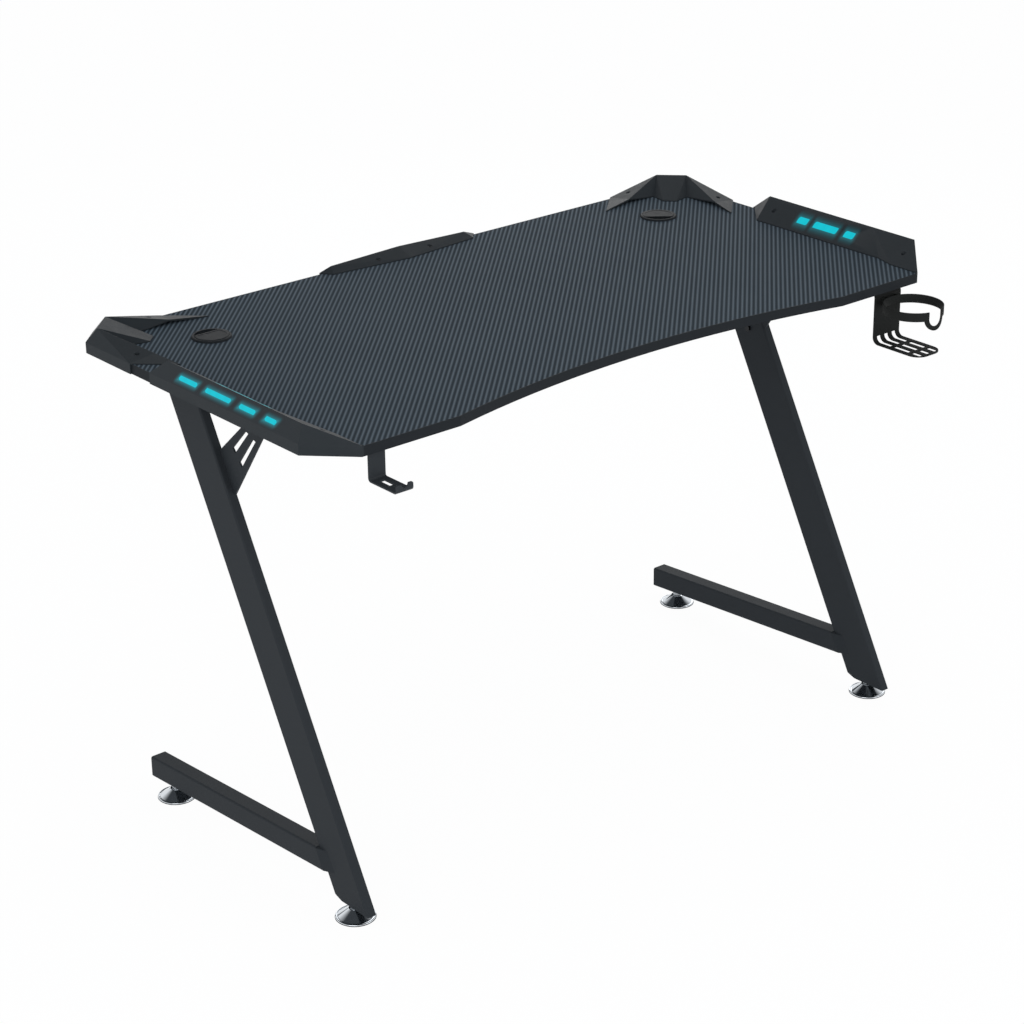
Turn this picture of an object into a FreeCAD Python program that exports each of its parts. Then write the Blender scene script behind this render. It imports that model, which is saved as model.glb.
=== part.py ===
import FreeCAD, Part
import math
import os

import Sketcher

# A gaming desk: a board with a swept front edge on two leaning leg frames.
# X runs to the right, Y to the back, Z up; the origin is on the floor, under the middle of the whole.

# Driving sizes in millimetres, angles in degrees
SIZES = {
    # Board
    "desk_width": 1200,
    "desk_height": 750,
    "board_depth": 618,
    "board_thickness": 15,
    "band_thickness": 1,
    "band_gap": 0.3,
    "skirt_thickness": 2.5,
    "bow_width": 746,
    "bow_depth": 43.5,
    "front_chamfer": 60,
    "rear_chamfer": 32,
    "fit_gap": 0.15,
    "overrun": 5,
    # Cable holes with turning covers
    "grommet_diameter": 60,
    "grommet_side": 154,
    "grommet_back": 131,
    "sleeve_bore": 46,
    "sleeve_wall": 2,
    "sleeve_drop": 4,
    "flange_height": 3,
    "ledge_height": 0.6,
    "ledge_width": 3,
    "cover_gap": 0.3,
    "cover_thickness": 3,
    "cover_bevel": 0.8,
    "slot_offset": 13,
    "running_gap": 0.05,
    "right_cover_angle": 140,
    # Leg frames
    "tube_width": 16,
    "tube_wall": 2,
    "tube_corner": 3,
    "leg_inset": 55.5,
    "leg_depth": 69,
    "leg_toe": 10,
    "leg_top_setback": 230.7,
    "heel_cut_length": 18,
    "heel_cut_height": 6,
    "base_height": 34.6,
    "base_width": 28,
    "base_slope_angle": 4.2,
    "base_rear": 48,
    "base_rear_height": 20.4,
    "plug_depth": 18,
    "plug_head": 2,
    "top_height": 25,
    "top_front": 96,
    "top_rear": 62,
    "gusset_thickness": 3,
    "gusset_low": 133,
    "gusset_high": 73,
    "gusset_reach": 164,
    "gusset_width": 43.5,
    "leg_bolt_drop": 140,
    # Cross rails
    "beam_depth": 40,
    "beam_height": 20,
    "front_beam_setback": 190,
    "rear_beam_setback": 182,
    "beam_plate": 3,
    "beam_plate_margin": 18,
    # Levelling feet
    "foot_height": 18,
    "foot_diameter": 60,
    "foot_rim": 2,
    "cup_height": 15,
    "cup_base_diameter": 53,
    "cup_top_diameter": 20,
    "stud_diameter": 8,
    "stud_seat": 4,
    "stud_length": 40,
    "nut_diameter": 15,
    "nut_stop_gap": 0.3,
    "thread_gap": 0.08,
    "front_foot_setback": 60.5,
    "rear_foot_setback": 95,
    "bush_diameter": 14,
    "bush_height": 24,
    "leg_plug_height": 32,
    # Corner covers, measured along and in from the two outer edges
    "cap_height": 25,
    "edge_height": 1.5,
    "cap_wall": 3,
    "cap_side_wall": 1.2,
    "cap_reach": 144,
    "cap_side_reach": 151,
    "apex_along": 48,
    "apex_in": 12,
    "tip_along": 201,
    "tip_in": 53,
    "kink_along": 140,
    "kink_side_along": 151,
    "kink_in": 43,
    "kink_height": 7,
    "recess_along": 84,
    "recess_in": 44,
    "shield_along": 90,
    "shield_in": 74,
    "cap_screw_along": 119,
    "cap_screw_in": 18,
    "cap_side_screw_along": 137,
    "cap_side_screw_in": 22,
    # Light bars, measured in from the end and back from the front edge
    "bar_height": 30,
    "bar_wall": 4.5,
    "bar_side_wall": 2,
    "bar_cap_gap": 0.5,
    "ridge_in": 6,
    "ridge_back_inset": 42,
    "ridge_crease": 145,
    "ridge_front": 57,
    "inner_in": 50,
    "inner_back_inset": 56,
    "inner_crease": 92,
    "nose_back": 56,
    "window_low": 11,
    "outer_window_height": 7.5,
    "inner_window_height": 7.5,
    "outer_window_slant": 7,
    "inner_window_slant": -2,
    "window_corner": 2.2,
    "bar_screw_in": 27,
    "bar_rear_screw_inset": 73,
    "bar_front_screw": 53,
    "bar_front_screw_in": 35,
    "led_board_in": 12.5,
    "led_board_thickness": 1.6,
    "led_board_height": 19,
    "led_board_margin": 14,
    "window_reach": 9,
    "lens_reach": 15,
    "chip_size": 3.5,
    "chip_height": 1,
    "chip_level": 15,
    "chip_pitch": 20,
    # Back strip
    "trim_width": 310,
    "trim_nose_width": 282,
    "trim_lean": 2.5,
    "trim_side_wall": 2,
    "trim_shoulder_width": 268,
    "trim_depth": 33,
    "trim_end_depth": 19,
    "trim_peak": 13,
    "trim_shoulder": 9,
    "trim_wall": 3,
    "trim_screw_pitch": 104,
    "trim_screw_in": 17,
    # Headphone hook
    "hook_side": 93,
    "hook_width": 28,
    "hook_sheet": 2.5,
    "hook_setback": 12,
    "hook_drop": 45,
    "hook_flange": 40,
    "hook_overhang": 48,
    "hook_lip": 13,
    "hook_lip_hollow": 6,
    "hook_lip_corner": 3,
    "hook_slot_setback": 21,
    "hook_bend": 3,
    "hook_slot_width": 8,
    "hook_slot_length": 22,
    # Cup holder
    "holder_side": 112,
    "holder_width": 58,
    "holder_sheet": 2,
    "holder_setback": 12,
    "holder_drop": 85,
    "holder_flange": 40,
    "holder_reach": 81,
    "holder_bend": 9,
    "holder_rail": 8,
    "holder_end_corner": 20,
    "ring_diameter": 94,
    "ring_reach": 87,
    "ring_sheet": 1.6,
    "ring_drop": 12,
    "ring_band": 14,
    "dip_width": 26,
    "dip_depth": 17,
    "dip_strip": 7,
    "dip_angle": -90,
    "neck_spread": 26,
    # Fasteners
    "screw_head_diameter": 7,
    "screw_head_height": 2.2,
    "screw_diameter": 3.6,
    "screw_grip": 11,
    "screw_seat": 3,
    "screw_gap": 0.05,
    "boss_diameter": 12,
    "recess_gap": 0.3,
    "bolt_head_diameter": 11,
    "bolt_head_height": 4,
    "bolt_diameter": 6,
    "bolt_grip": 10,
    # Inlets of the light bars
    "socket_length": 18,
    "socket_width": 18,
    "socket_height": 10,
    "socket_slot_width": 12.5,
    "socket_slot_height": 5.1,
    "socket_slot_depth": 13,
    "wire_hole": 6,
    "socket_setback": 230,
    "socket_side": 30,
}

# The two rows of windows of a light bar, front and back end as shares of its length
WINDOW_ROW_SHARES = {"outer": (0.26, 0.814), "inner": (0.394, 0.692)}
# Windows of one light bar as shares of their row, from the front
OUTER_WINDOW_SHARES = ((0, 0.11), (0.21, 0.37), (0.46, 0.72), (0.81, 1))
INNER_WINDOW_SHARES = ((0, 0.17), (0.3, 0.71), (0.82, 1))
# Screw places along a top bar, as shares of its length
TOP_SCREW_SHARES = (0.08, 0.24, 0.6, 0.92)
# Screw places along the flange of the hook and the holder, as shares of its length
FLANGE_SCREW_SHARES = (0.4, 0.8)
# Slots of the cup holder's tray, as shares of its length from the bend to the front
TRAY_SLOT_SHARES = ((0.0, 0.3), (0.36, 0.7), (0.76, 0.95))
TRAY_COLUMNS = 3
# Slots of a gusset: start and end along it, low and high across it, as shares
GUSSET_SLOT_SHARES = ((0.3, 0.72, 0.2, 0.36), (0.3, 0.72, 0.62, 0.78))
# How far up its back plate the holder's slots reach, as a share of the drop
PLATE_SLOT_SHARE = 0.13

doc = FreeCAD.newDocument("gaming_desk")
sheet = doc.addObject("Spreadsheet::Sheet", "sizes")
for row, (alias, number) in enumerate(SIZES.items(), start=1):
    sheet.set("A%d" % row, alias)
    sheet.set("B%d" % row, str(number))
    sheet.setAlias("B%d" % row, alias)
doc.recompute()


class Size:
    """A length with its number and the sheet expression that gives it."""

    def __init__(self, number, text):
        self.number = number
        self.text = text

    def __float__(self):
        return float(self.number)

    def __add__(self, other):
        return joined(self, "+", other, float(self) + float(other))

    def __radd__(self, other):
        return joined(other, "+", self, float(other) + float(self))

    def __sub__(self, other):
        return joined(self, "-", other, float(self) - float(other))

    def __rsub__(self, other):
        return joined(other, "-", self, float(other) - float(self))

    def __mul__(self, other):
        return joined(self, "*", other, float(self) * float(other))

    def __rmul__(self, other):
        return joined(other, "*", self, float(other) * float(self))

    def __truediv__(self, other):
        return joined(self, "/", other, float(self) / float(other))

    def __rtruediv__(self, other):
        return joined(other, "/", self, float(other) / float(self))

    def __neg__(self):
        return joined(-1, "*", self, -float(self))


def text_of(term):
    return term.text if isinstance(term, Size) else repr(term)


def joined(first, sign, second, number):
    return Size(number, "(%s %s %s)" % (text_of(first), sign, text_of(second)))


def tangent(angle):
    return Size(math.tan(math.radians(float(angle))), "tan(%s * 1 deg)" % text_of(angle))


def cosine(angle):
    return Size(math.cos(math.radians(float(angle))), "cos(%s * 1 deg)" % text_of(angle))


def sine(angle):
    return Size(math.sin(math.radians(float(angle))), "sin(%s * 1 deg)" % text_of(angle))


def root(term):
    return Size(math.sqrt(float(term)), "sqrt(%s)" % text_of(term))


def size(alias):
    return Size(float(sheet.get(alias)), "sizes.%s" % alias)


def point(x, y, z):
    return FreeCAD.Vector(float(x), float(y), float(z))


# Reference planes worked out from the driving sizes
END = size("desk_width") / 2
TOP = size("desk_height")
UNDER = TOP - size("board_thickness")
BACK = (size("board_depth") + size("ring_reach") - size("skirt_thickness")) / 2
FRONT = BACK - size("board_depth")
REAR = BACK + size("skirt_thickness")
SKIRT = size("skirt_thickness")
OVER = size("overrun")
BEAM_FLOOR = UNDER - size("top_height")
LEG_OUT = END - size("leg_inset")
LEG_IN = LEG_OUT - size("tube_width")
LEG_MID = LEG_OUT - size("tube_width") / 2
TOE = FRONT + size("leg_toe")
LEAN = (REAR - size("leg_top_setback") - TOE) / BEAM_FLOOR
# How far a 45 degree corner moves along an edge for each unit that the outline is inset
CORNER_SHARE = math.sqrt(2) - 1

# How near two places count as the same
TOUCH = 1e-6

nodes = []


def node(thing, label):
    """Names a finished sub-part and lists it for export."""
    thing.Label = label
    nodes.append(thing)
    return thing


def bind(thing, **terms):
    for name, term in terms.items():
        thing.setExpression(name, text_of(term))
    return thing


def move(thing, x=0, y=0, z=0):
    """Ties the place of an object to the sheet."""
    for axis, term in (("x", x), ("y", y), ("z", z)):
        thing.setExpression("Placement.Base.%s" % axis, text_of(term))
    return thing


def box(name, corner, lengths):
    thing = doc.addObject("Part::Box", name)
    bind(thing, Length=lengths[0], Width=lengths[1], Height=lengths[2])
    return move(thing, *corner)


AXIS_TURNS = {
    "z": FreeCAD.Rotation(),
    "x": FreeCAD.Rotation(FreeCAD.Vector(0, 1, 0), 90),
    "-x": FreeCAD.Rotation(FreeCAD.Vector(0, 1, 0), -90),
    "y": FreeCAD.Rotation(FreeCAD.Vector(1, 0, 0), -90),
}


def rod(name, base, radius, height, along="z"):
    thing = doc.addObject("Part::Cylinder", name)
    bind(thing, Radius=radius, Height=height)
    thing.Placement = FreeCAD.Placement(FreeCAD.Vector(), AXIS_TURNS[along])
    return move(thing, *base)


def cut(name, base, *tools):
    """Takes the tools out of the base."""
    thing = doc.addObject("Part::Cut", name)
    thing.Base = base
    thing.Tool = tools[0] if len(tools) == 1 else group(name + "_tools", tools)
    return thing


def fuse(name, *pieces):
    thing = doc.addObject("Part::MultiFuse", name)
    thing.Shapes = list(pieces)
    return thing


def common(name, first, second):
    thing = doc.addObject("Part::Common", name)
    thing.Base = first
    thing.Tool = second
    return thing


def group(name, pieces):
    """Keeps separate solids together as one object."""
    thing = doc.addObject("Part::Compound", name)
    thing.Links = list(pieces)
    return thing


def mirrored(name, source):
    """The left twin of a right-hand piece."""
    thing = doc.addObject("Part::Mirroring", name)
    thing.Source = source
    thing.Normal = FreeCAD.Vector(1, 0, 0)
    return thing


def pair(label, source):
    """A right-hand piece and its left twin, as two sub-parts."""
    node(source, label + "_right")
    return node(mirrored(label + "_twin", source), label + "_left")


def both_ends(name, pieces):
    """Right-hand fasteners with their left twins, as one group."""
    right = group(name + "_right_set", pieces)
    return group(name, [right, mirrored(name + "_left_set", right)])


def plane_of(body, role):
    return next(item for item in body.Origin.OriginFeatures if item.Role == role)


def pin_point(sketch, index, end, x, y):
    """Ties one end of a sketch line to the sheet."""
    for kind, axis, term in (("DistanceX", -2, x), ("DistanceY", -1, y)):
        if float(term) == 0:
            sketch.addConstraint(Sketcher.Constraint("PointOnObject", index, end, axis))
        else:
            row = sketch.addConstraint(Sketcher.Constraint(kind, -1, 1, index, end, float(term)))
            sketch.setExpression("Constraints[%d]" % row, text_of(term))


def draw_loop(sketch, corners, arcs):
    """Closed outline through the corners; arcs gives a side's middle point and radius by its number."""
    count = len(corners)
    flat = [point(x, y, 0) for x, y in corners]
    ends = []
    for side in range(count):
        start = flat[side]
        stop = flat[(side + 1) % count]
        if side in arcs:
            middle = arcs[side][0]
            curve = Part.Arc(start, point(middle[0], middle[1], 0), stop)
        else:
            curve = Part.LineSegment(start, stop)
        index = sketch.addGeometry(curve)
        forward = sketch.getPoint(index, 1).distanceToPoint(start) < TOUCH
        ends.append((index, 1 if forward else 2, 2 if forward else 1))
    for side in range(count):
        index, first, last = ends[side]
        following = ends[(side + 1) % count]
        sketch.addConstraint(Sketcher.Constraint("Coincident", index, last, following[0], following[1]))
    for side in range(count):
        pin_point(sketch, ends[side][0], ends[side][1], *corners[side])
    for side, (middle, radius) in arcs.items():
        row = sketch.addConstraint(Sketcher.Constraint("Radius", ends[side][0], float(radius)))
        sketch.setExpression("Constraints[%d]" % row, text_of(radius))


def draw_circle(sketch, x, y, radius):
    index = sketch.addGeometry(Part.Circle(point(x, y, 0), FreeCAD.Vector(0, 0, 1), float(radius)))
    pin_point(sketch, index, 3, x, y)
    row = sketch.addConstraint(Sketcher.Constraint("Radius", index, float(radius)))
    sketch.setExpression("Constraints[%d]" % row, text_of(radius))


def sketch_on(body, role, name):
    sketch = body.newObject("Sketcher::SketchObject", name)
    sketch.AttachmentSupport = (plane_of(body, role), "")
    sketch.MapMode = "FlatFace"
    return sketch


def padded(name, role, corners, length, arcs=None, circles=()):
    """A body whose outline is drawn on an origin plane and padded along that plane's normal."""
    body = doc.addObject("PartDesign::Body", name)
    sketch = sketch_on(body, role, name + "_outline")
    draw_loop(sketch, corners, arcs or {})
    for x, y, radius in circles:
        draw_circle(sketch, x, y, radius)
    pad = body.newObject("PartDesign::Pad", name + "_pad")
    pad.Profile = sketch
    pad.setExpression("Length", text_of(length))
    doc.recompute()
    return body


def turned(name, corners):
    """A body turned round Z from the half section drawn in the XZ plane."""
    body = doc.addObject("PartDesign::Body", name)
    sketch = sketch_on(body, "XZ_Plane", name + "_section")
    draw_loop(sketch, corners, {})
    turn = body.newObject("PartDesign::Revolution", name + "_turn")
    turn.Profile = sketch
    turn.ReferenceAxis = (sketch, ["V_Axis"])
    turn.Angle = 360
    doc.recompute()
    return body


def rounded(body, name, edges, radius):
    """Rounds the named edges of a body's last feature."""
    last = body.Tip
    fillet = body.newObject("PartDesign::Fillet", name)
    fillet.Base = (last, edges)
    fillet.setExpression("Radius", text_of(radius))
    body.Tip = fillet
    doc.recompute()
    return body


def edges_along(shape, direction):
    """Names of the straight edges that run along a direction."""
    names = []
    for number, edge in enumerate(shape.Edges, start=1):
        run = edge.Vertexes[-1].Point - edge.Vertexes[0].Point
        if edge.Curve.TypeId == "Part::GeomLine" and run.cross(direction).Length < TOUCH * run.Length:
            names.append("Edge%d" % number)
    return names


def edges_through(shape, places):
    """Names of the edges along X that pass through the given Y, Z places."""
    names = []
    for number, edge in enumerate(shape.Edges, start=1):
        first = edge.Vertexes[0].Point
        last = edge.Vertexes[-1].Point
        for y, z in places:
            spot = FreeCAD.Vector(first.x, float(y), float(z))
            if first.distanceToPoint(spot) < TOUCH and abs(last.y - first.y) + abs(last.z - first.z) < TOUCH:
                names.append("Edge%d" % number)
    return names


def feature(name, shape):
    thing = doc.addObject("Part::Feature", name)
    thing.Shape = shape
    return thing


def solid_from(faces):
    """A closed solid from flat faces, each a list of corners."""
    sides = [Part.Face(Part.makePolygon(corners + corners[:1])) for corners in faces]
    solid = Part.makeSolid(Part.makeShell(sides))
    if solid.Volume < 0:
        solid.reverse()
    return solid


def prism(corners, rise):
    return Part.Face(Part.makePolygon(corners + corners[:1])).extrude(rise)


def screw(name, x, y, seat, reach, upward=False):
    """A pan-head screw with its head on the seat; it points down, or up."""
    head_low = seat - size("screw_head_height") if upward else seat
    shank_low = seat if upward else seat - reach
    head = rod(name + "_head", (x, y, head_low), size("screw_head_diameter") / 2, size("screw_head_height"))
    shank = rod(name + "_shank", (x, y, shank_low), size("screw_diameter") / 2, reach)
    return fuse(name, head, shank)


def board_outline(inset):
    """Corners of the board's outline, drawn in from the edge band's outer face, and its swept side."""
    side = END - SKIRT - inset
    front = FRONT + inset
    back = BACK - inset
    front_cut = size("front_chamfer") + CORNER_SHARE * (SKIRT + inset)
    rear_cut = size("rear_chamfer") + CORNER_SHARE * (SKIRT + inset)
    half = size("bow_width") / 2
    deep = size("bow_depth")
    radius = (half * half + deep * deep) / (2 * deep)
    reach = radius - deep + inset
    swept = radius + inset
    chord = root(swept * swept - reach * reach)
    corners = [
        (chord, front), (END - front_cut - SKIRT, front), (side, FRONT + front_cut), (side, REAR - rear_cut),
        (END - rear_cut, back), (rear_cut - END, back), (-side, REAR - rear_cut), (-side, FRONT + front_cut),
        (front_cut + SKIRT - END, front), (-chord, front),
    ]
    arcs = {len(corners) - 1: ((0, front + deep), swept)}
    return corners, arcs


def at_bar(s_in, s_back):
    """X and Y of a place given in from the right end and back from the front edge."""
    return END - s_in, FRONT + s_back


def at_corner(u_in, v_in):
    """X and Y of a place given in from the right end and in from the back of the plastics."""
    return END - u_in, REAR - v_in


# Places of the cable holes and of every screw that goes into the board
GROMMET = at_corner(size("grommet_side"), size("grommet_back"))
BORE = size("sleeve_bore") / 2
BAR_BACK = REAR - FRONT - size("tip_along") - size("bar_cap_gap")
CAP_SCREWS = [at_corner(size("cap_screw_along"), size("cap_screw_in")),
              at_corner(size("cap_side_screw_in"), size("cap_side_screw_along"))]
BAR_SCREWS = [at_bar(size("bar_screw_in"), BAR_BACK - size("bar_rear_screw_inset")),
              at_bar(size("bar_front_screw_in"), size("bar_front_screw"))]
TRIM_SCREWS = [(size("trim_screw_pitch") / 2, REAR - size("trim_screw_in"))]
TOP_START = FRONT + size("top_front")
TOP_STOP = REAR - size("top_rear")
TOP_SCREWS = [(LEG_MID, TOP_START + share * (TOP_STOP - TOP_START)) for share in TOP_SCREW_SHARES]
HOOK_MID = size("hook_side") - END
HOOK_FACE = FRONT + size("hook_setback")
HOOK_SCREWS = [(HOOK_MID, HOOK_FACE + share * size("hook_flange")) for share in FLANGE_SCREW_SHARES]
HOLDER_MID = END - size("holder_side")
HOLDER_FACE = FRONT + size("holder_setback")
HOLDER_SCREWS = [(HOLDER_MID, HOLDER_FACE + share * size("holder_flange")) for share in FLANGE_SCREW_SHARES]
SOCKET = at_bar(size("socket_side"), size("socket_setback"))
SCREW_HOLE = size("screw_diameter") / 2 + size("screw_gap")
GRIP = size("screw_grip") + size("fit_gap")


def holes(name, places, low, high, radius=SCREW_HOLE):
    """Upright drills at the given places."""
    return [rod("%s_%d" % (name, number), (x, y, low), radius, high - low)
            for number, (x, y) in enumerate(places)]


def twins(places):
    return places + [(-x, y) for x, y in places]


# Board and its edge band
corners, arcs = board_outline(size("band_thickness") + size("band_gap"))
blank = move(padded("board_blank", "XY_Plane", corners, size("board_thickness"), arcs), z=UNDER)
drills = holes("top_drill", twins(CAP_SCREWS + BAR_SCREWS + TRIM_SCREWS), TOP - GRIP, TOP + OVER)
drills += holes("low_drill", twins(TOP_SCREWS) + HOOK_SCREWS + HOLDER_SCREWS, UNDER - OVER, UNDER + GRIP)
drills += holes("cable_drill", twins([GROMMET]), UNDER - OVER, TOP + OVER,
                BORE + size("sleeve_wall") + size("recess_gap"))
drills += holes("wire_drill", twins([SOCKET]), UNDER - OVER, TOP + OVER,
                size("wire_hole") / 2)
node(cut("board", blank, *drills), "desktop_board")
corners, arcs = board_outline(size("band_thickness"))
band_core = move(padded("band_core", "XY_Plane", corners, size("board_thickness") + 2 * OVER, arcs),
                 z=UNDER - OVER)
corners, arcs = board_outline(0 * size("band_thickness"))
band_blank = move(padded("band_blank", "XY_Plane", corners, size("board_thickness"), arcs), z=UNDER)
node(cut("band", band_blank, band_core), "edge_band")

# Cable sleeves and their turning covers
FLANGE = size("grommet_diameter") / 2
RECESS = BORE + size("ledge_width")
sleeve = turned("sleeve", [
    (BORE, UNDER - TOP - size("sleeve_drop")),
    (BORE + size("sleeve_wall"), UNDER - TOP - size("sleeve_drop")),
    (BORE + size("sleeve_wall"), 0), (FLANGE, 0), (FLANGE, size("flange_height") - size("cover_bevel")),
    (FLANGE - size("cover_bevel"), size("flange_height")), (RECESS, size("flange_height")),
    (RECESS, size("ledge_height")), (BORE, size("ledge_height")),
])
pair("grommet_sleeve", move(sleeve, GROMMET[0], GROMMET[1], TOP))
COVER = RECESS - size("cover_gap")
COVER_LOW = size("ledge_height") + size("running_gap")
COVER_HIGH = COVER_LOW + size("cover_thickness")
for side, sign, turn in (("right", 1, size("right_cover_angle")), ("left", -1, 0)):
    disc = turned("cover_disc_" + side, [
        (0, COVER_LOW), (COVER, COVER_LOW), (COVER, COVER_HIGH - size("cover_bevel")),
        (COVER - size("cover_bevel"), COVER_HIGH), (0, COVER_HIGH),
    ])
    slot = box("cover_slot_" + side, (-COVER, size("slot_offset"), 0 * COVER), (2 * COVER, COVER, COVER))
    cover = cut("cover_" + side, disc, slot)
    cover.Placement.Rotation = FreeCAD.Rotation(FreeCAD.Vector(0, 0, 1), float(turn))
    node(move(cover, sign * GROMMET[0], GROMMET[1], TOP), "grommet_cover_" + side)

# Legs: leaning tubes with a block in the lower end
FLAT_SHARE = 1 / root(1 + LEAN * LEAN)
HEEL_SLOPE = size("heel_cut_length") / size("heel_cut_height")
HEEL_TOP = size("foot_height") + size("heel_cut_height")


def leg_front(z, inset):
    return TOE + inset / FLAT_SHARE + LEAN * z


def leg_rear(z, inset):
    return TOE + (size("leg_depth") - inset) / FLAT_SHARE + LEAN * z


def leg_outline(inset, low, high):
    """Side view of the leg, drawn in by an inset, between two heights."""
    heel = HEEL_TOP - inset / FLAT_SHARE / (HEEL_SLOPE - LEAN)
    heel_low = leg_rear(HEEL_TOP, 0 * inset) - (HEEL_TOP - low) * HEEL_SLOPE
    return [(leg_front(low, inset), low), (heel_low, low), (leg_rear(heel, inset), heel),
            (leg_rear(high, inset), high), (leg_front(high, inset), high)]


def round_tube(body, name, direction):
    return rounded(body, name, edges_along(body.Shape, direction), size("tube_corner"))


WALL = size("tube_wall")
BOLT_HOLE = size("bolt_diameter") / 2 + size("screw_gap")
LEG_INNER = size("tube_width") - 2 * WALL
LEG_LOW = size("foot_height")
leg_blank = padded("leg_blank", "YZ_Plane", leg_outline(0 * WALL, LEG_LOW, BEAM_FLOOR), size("tube_width"))
round_tube(leg_blank, "leg_round", FreeCAD.Vector(0, float(LEAN), 1))
leg_cavity = padded("leg_cavity", "YZ_Plane",
                    leg_outline(WALL, LEG_LOW - OVER, BEAM_FLOOR + OVER), LEG_INNER)
BOLT_Z = BEAM_FLOOR - size("leg_bolt_drop")
BOLT_Y = (leg_front(BOLT_Z, WALL) + leg_rear(BOLT_Z, WALL)) / 2
leg_drill = rod("leg_drill", (LEG_IN - OVER, BOLT_Y, BOLT_Z), BOLT_HOLE, OVER + 2 * WALL, "x")
pair("leg", cut("leg", move(leg_blank, x=LEG_IN), move(leg_cavity, x=LEG_IN + WALL), leg_drill))


def bolt(name, x, y, z):
    """A bolt whose head lies against a face at x, with its shank running outward to the right."""
    head = doc.addObject("Part::Prism", name + "_head")
    head.Polygon = 6
    bind(head, Circumradius=size("bolt_head_diameter") / 2, Height=size("bolt_head_height"))
    head.Placement = FreeCAD.Placement(FreeCAD.Vector(), AXIS_TURNS["x"])
    move(head, x - size("bolt_head_height"), y, z)
    shank = rod(name + "_shank", (x, y, z), size("bolt_diameter") / 2, size("bolt_grip"), "x")
    return fuse(name, head, shank)


node(both_ends("leg_bolts", [bolt("leg_bolt", LEG_IN, BOLT_Y, BOLT_Z)]), "leg_bolts")

# Levelling feet: chrome cup, stud with a hexagon, and the thread that holds it
FRONT_FOOT = FRONT + size("front_foot_setback")
REAR_FOOT = REAR - size("rear_foot_setback")
STUD = size("stud_diameter") / 2
THREAD = STUD + size("thread_gap")
plug_blank = padded("plug_blank", "YZ_Plane",
                    leg_outline(WALL + size("fit_gap"), LEG_LOW, LEG_LOW + size("leg_plug_height")),
                    LEG_INNER - 2 * size("fit_gap"))
plug_bore = rod("plug_bore", (LEG_MID, FRONT_FOOT, LEG_LOW - OVER), THREAD,
                size("leg_plug_height") + 2 * OVER)
pair("leg_plug", cut("leg_plug", move(plug_blank, x=LEG_IN + WALL + size("fit_gap")), plug_bore))
for place, foot_y in (("front", FRONT_FOOT), ("rear", REAR_FOOT)):
    cup = turned("cup_" + place, [
        (0, 0), (size("foot_diameter") / 2, 0), (size("foot_diameter") / 2, size("foot_rim")),
        (size("cup_base_diameter") / 2, size("foot_rim")), (size("cup_top_diameter") / 2, size("cup_height")),
        (STUD + size("fit_gap"), size("cup_height")), (STUD + size("fit_gap"), size("stud_seat")),
        (0, size("stud_seat")),
    ])
    pair("foot_cup_" + place, move(cup, LEG_MID, foot_y, 0 * foot_y))
    stem = rod("stem_" + place, (LEG_MID, foot_y, size("stud_seat")), STUD, size("stud_length"))
    nut = doc.addObject("Part::Prism", "nut_" + place)
    nut.Polygon = 6
    bind(nut, Circumradius=size("nut_diameter") / 2,
         Height=size("foot_height") - size("cup_height") - 2 * size("nut_stop_gap"))
    move(nut, LEG_MID, foot_y, size("cup_height") + size("nut_stop_gap"))
    pair("foot_stud_" + place, fuse("stud_" + place, stem, nut))

# Base bars: sloping tubes behind the legs
SLOPE = tangent(size("base_slope_angle"))
STEEP_SHARE = cosine(size("base_slope_angle"))
BASE_END = REAR - size("base_rear") - size("plug_head")


def base_line(y, rise):
    """Height of a line that runs along the base bar, a rise above its lower face."""
    return size("base_rear_height") + rise / STEEP_SHARE + SLOPE * (BASE_END - y)


def base_meet(rise, ahead):
    """Where that line meets the rear face of the leg, moved ahead into the leg."""
    start = leg_rear(0 * rise, 0 * rise) - ahead
    low = size("base_rear_height") + rise / STEEP_SHARE
    y = (start + LEAN * (low + SLOPE * BASE_END)) / (1 + LEAN * SLOPE)
    return y, base_line(y, rise)


def base_outline(inset, ahead, behind):
    rear = BASE_END + behind
    high = size("base_height") - inset
    return [base_meet(inset, ahead), (rear, base_line(rear, inset)), (rear, base_line(rear, high)),
            base_meet(high, ahead)]


def rectangle(low_x, high_x, low_z, high_z):
    return [(low_x, low_z), (high_x, low_z), (high_x, high_z), (low_x, high_z)]


BASE_IN = LEG_MID - size("base_width") / 2
BASE_OUT = LEG_MID + size("base_width") / 2
BASE_INNER = size("base_width") - 2 * WALL
base_blank = padded("base_blank", "YZ_Plane", base_outline(0 * WALL, 0 * WALL, 0 * WALL), size("base_width"))
round_tube(base_blank, "base_round", FreeCAD.Vector(0, 1, -float(SLOPE)))
base_cavity = padded("base_cavity", "YZ_Plane", base_outline(WALL, -WALL, OVER), BASE_INNER)
bush_drill = rod("bush_drill", (LEG_MID, REAR_FOOT, 0 * WALL), size("bush_diameter") / 2 + size("recess_gap"),
                 size("foot_height") + size("bush_height") / 2)
move(base_cavity, x=BASE_IN + WALL)
pair("base_bar", cut("base_bar", move(base_blank, x=BASE_IN), base_cavity, bush_drill))
bush_blank = rod("bush_blank", (LEG_MID, REAR_FOOT, LEG_LOW), size("bush_diameter") / 2, size("bush_height"))
bush_bore = rod("bush_bore", (LEG_MID, REAR_FOOT, 0 * WALL), THREAD, LEG_LOW + 2 * size("bush_height"))
node(both_ends("foot_bushes", [cut("foot_bush", bush_blank, bush_bore)]), "foot_bushes")
GAP = size("fit_gap")
plug_start = BASE_END - size("plug_depth")
plug_high = size("base_height") - WALL - GAP
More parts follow.
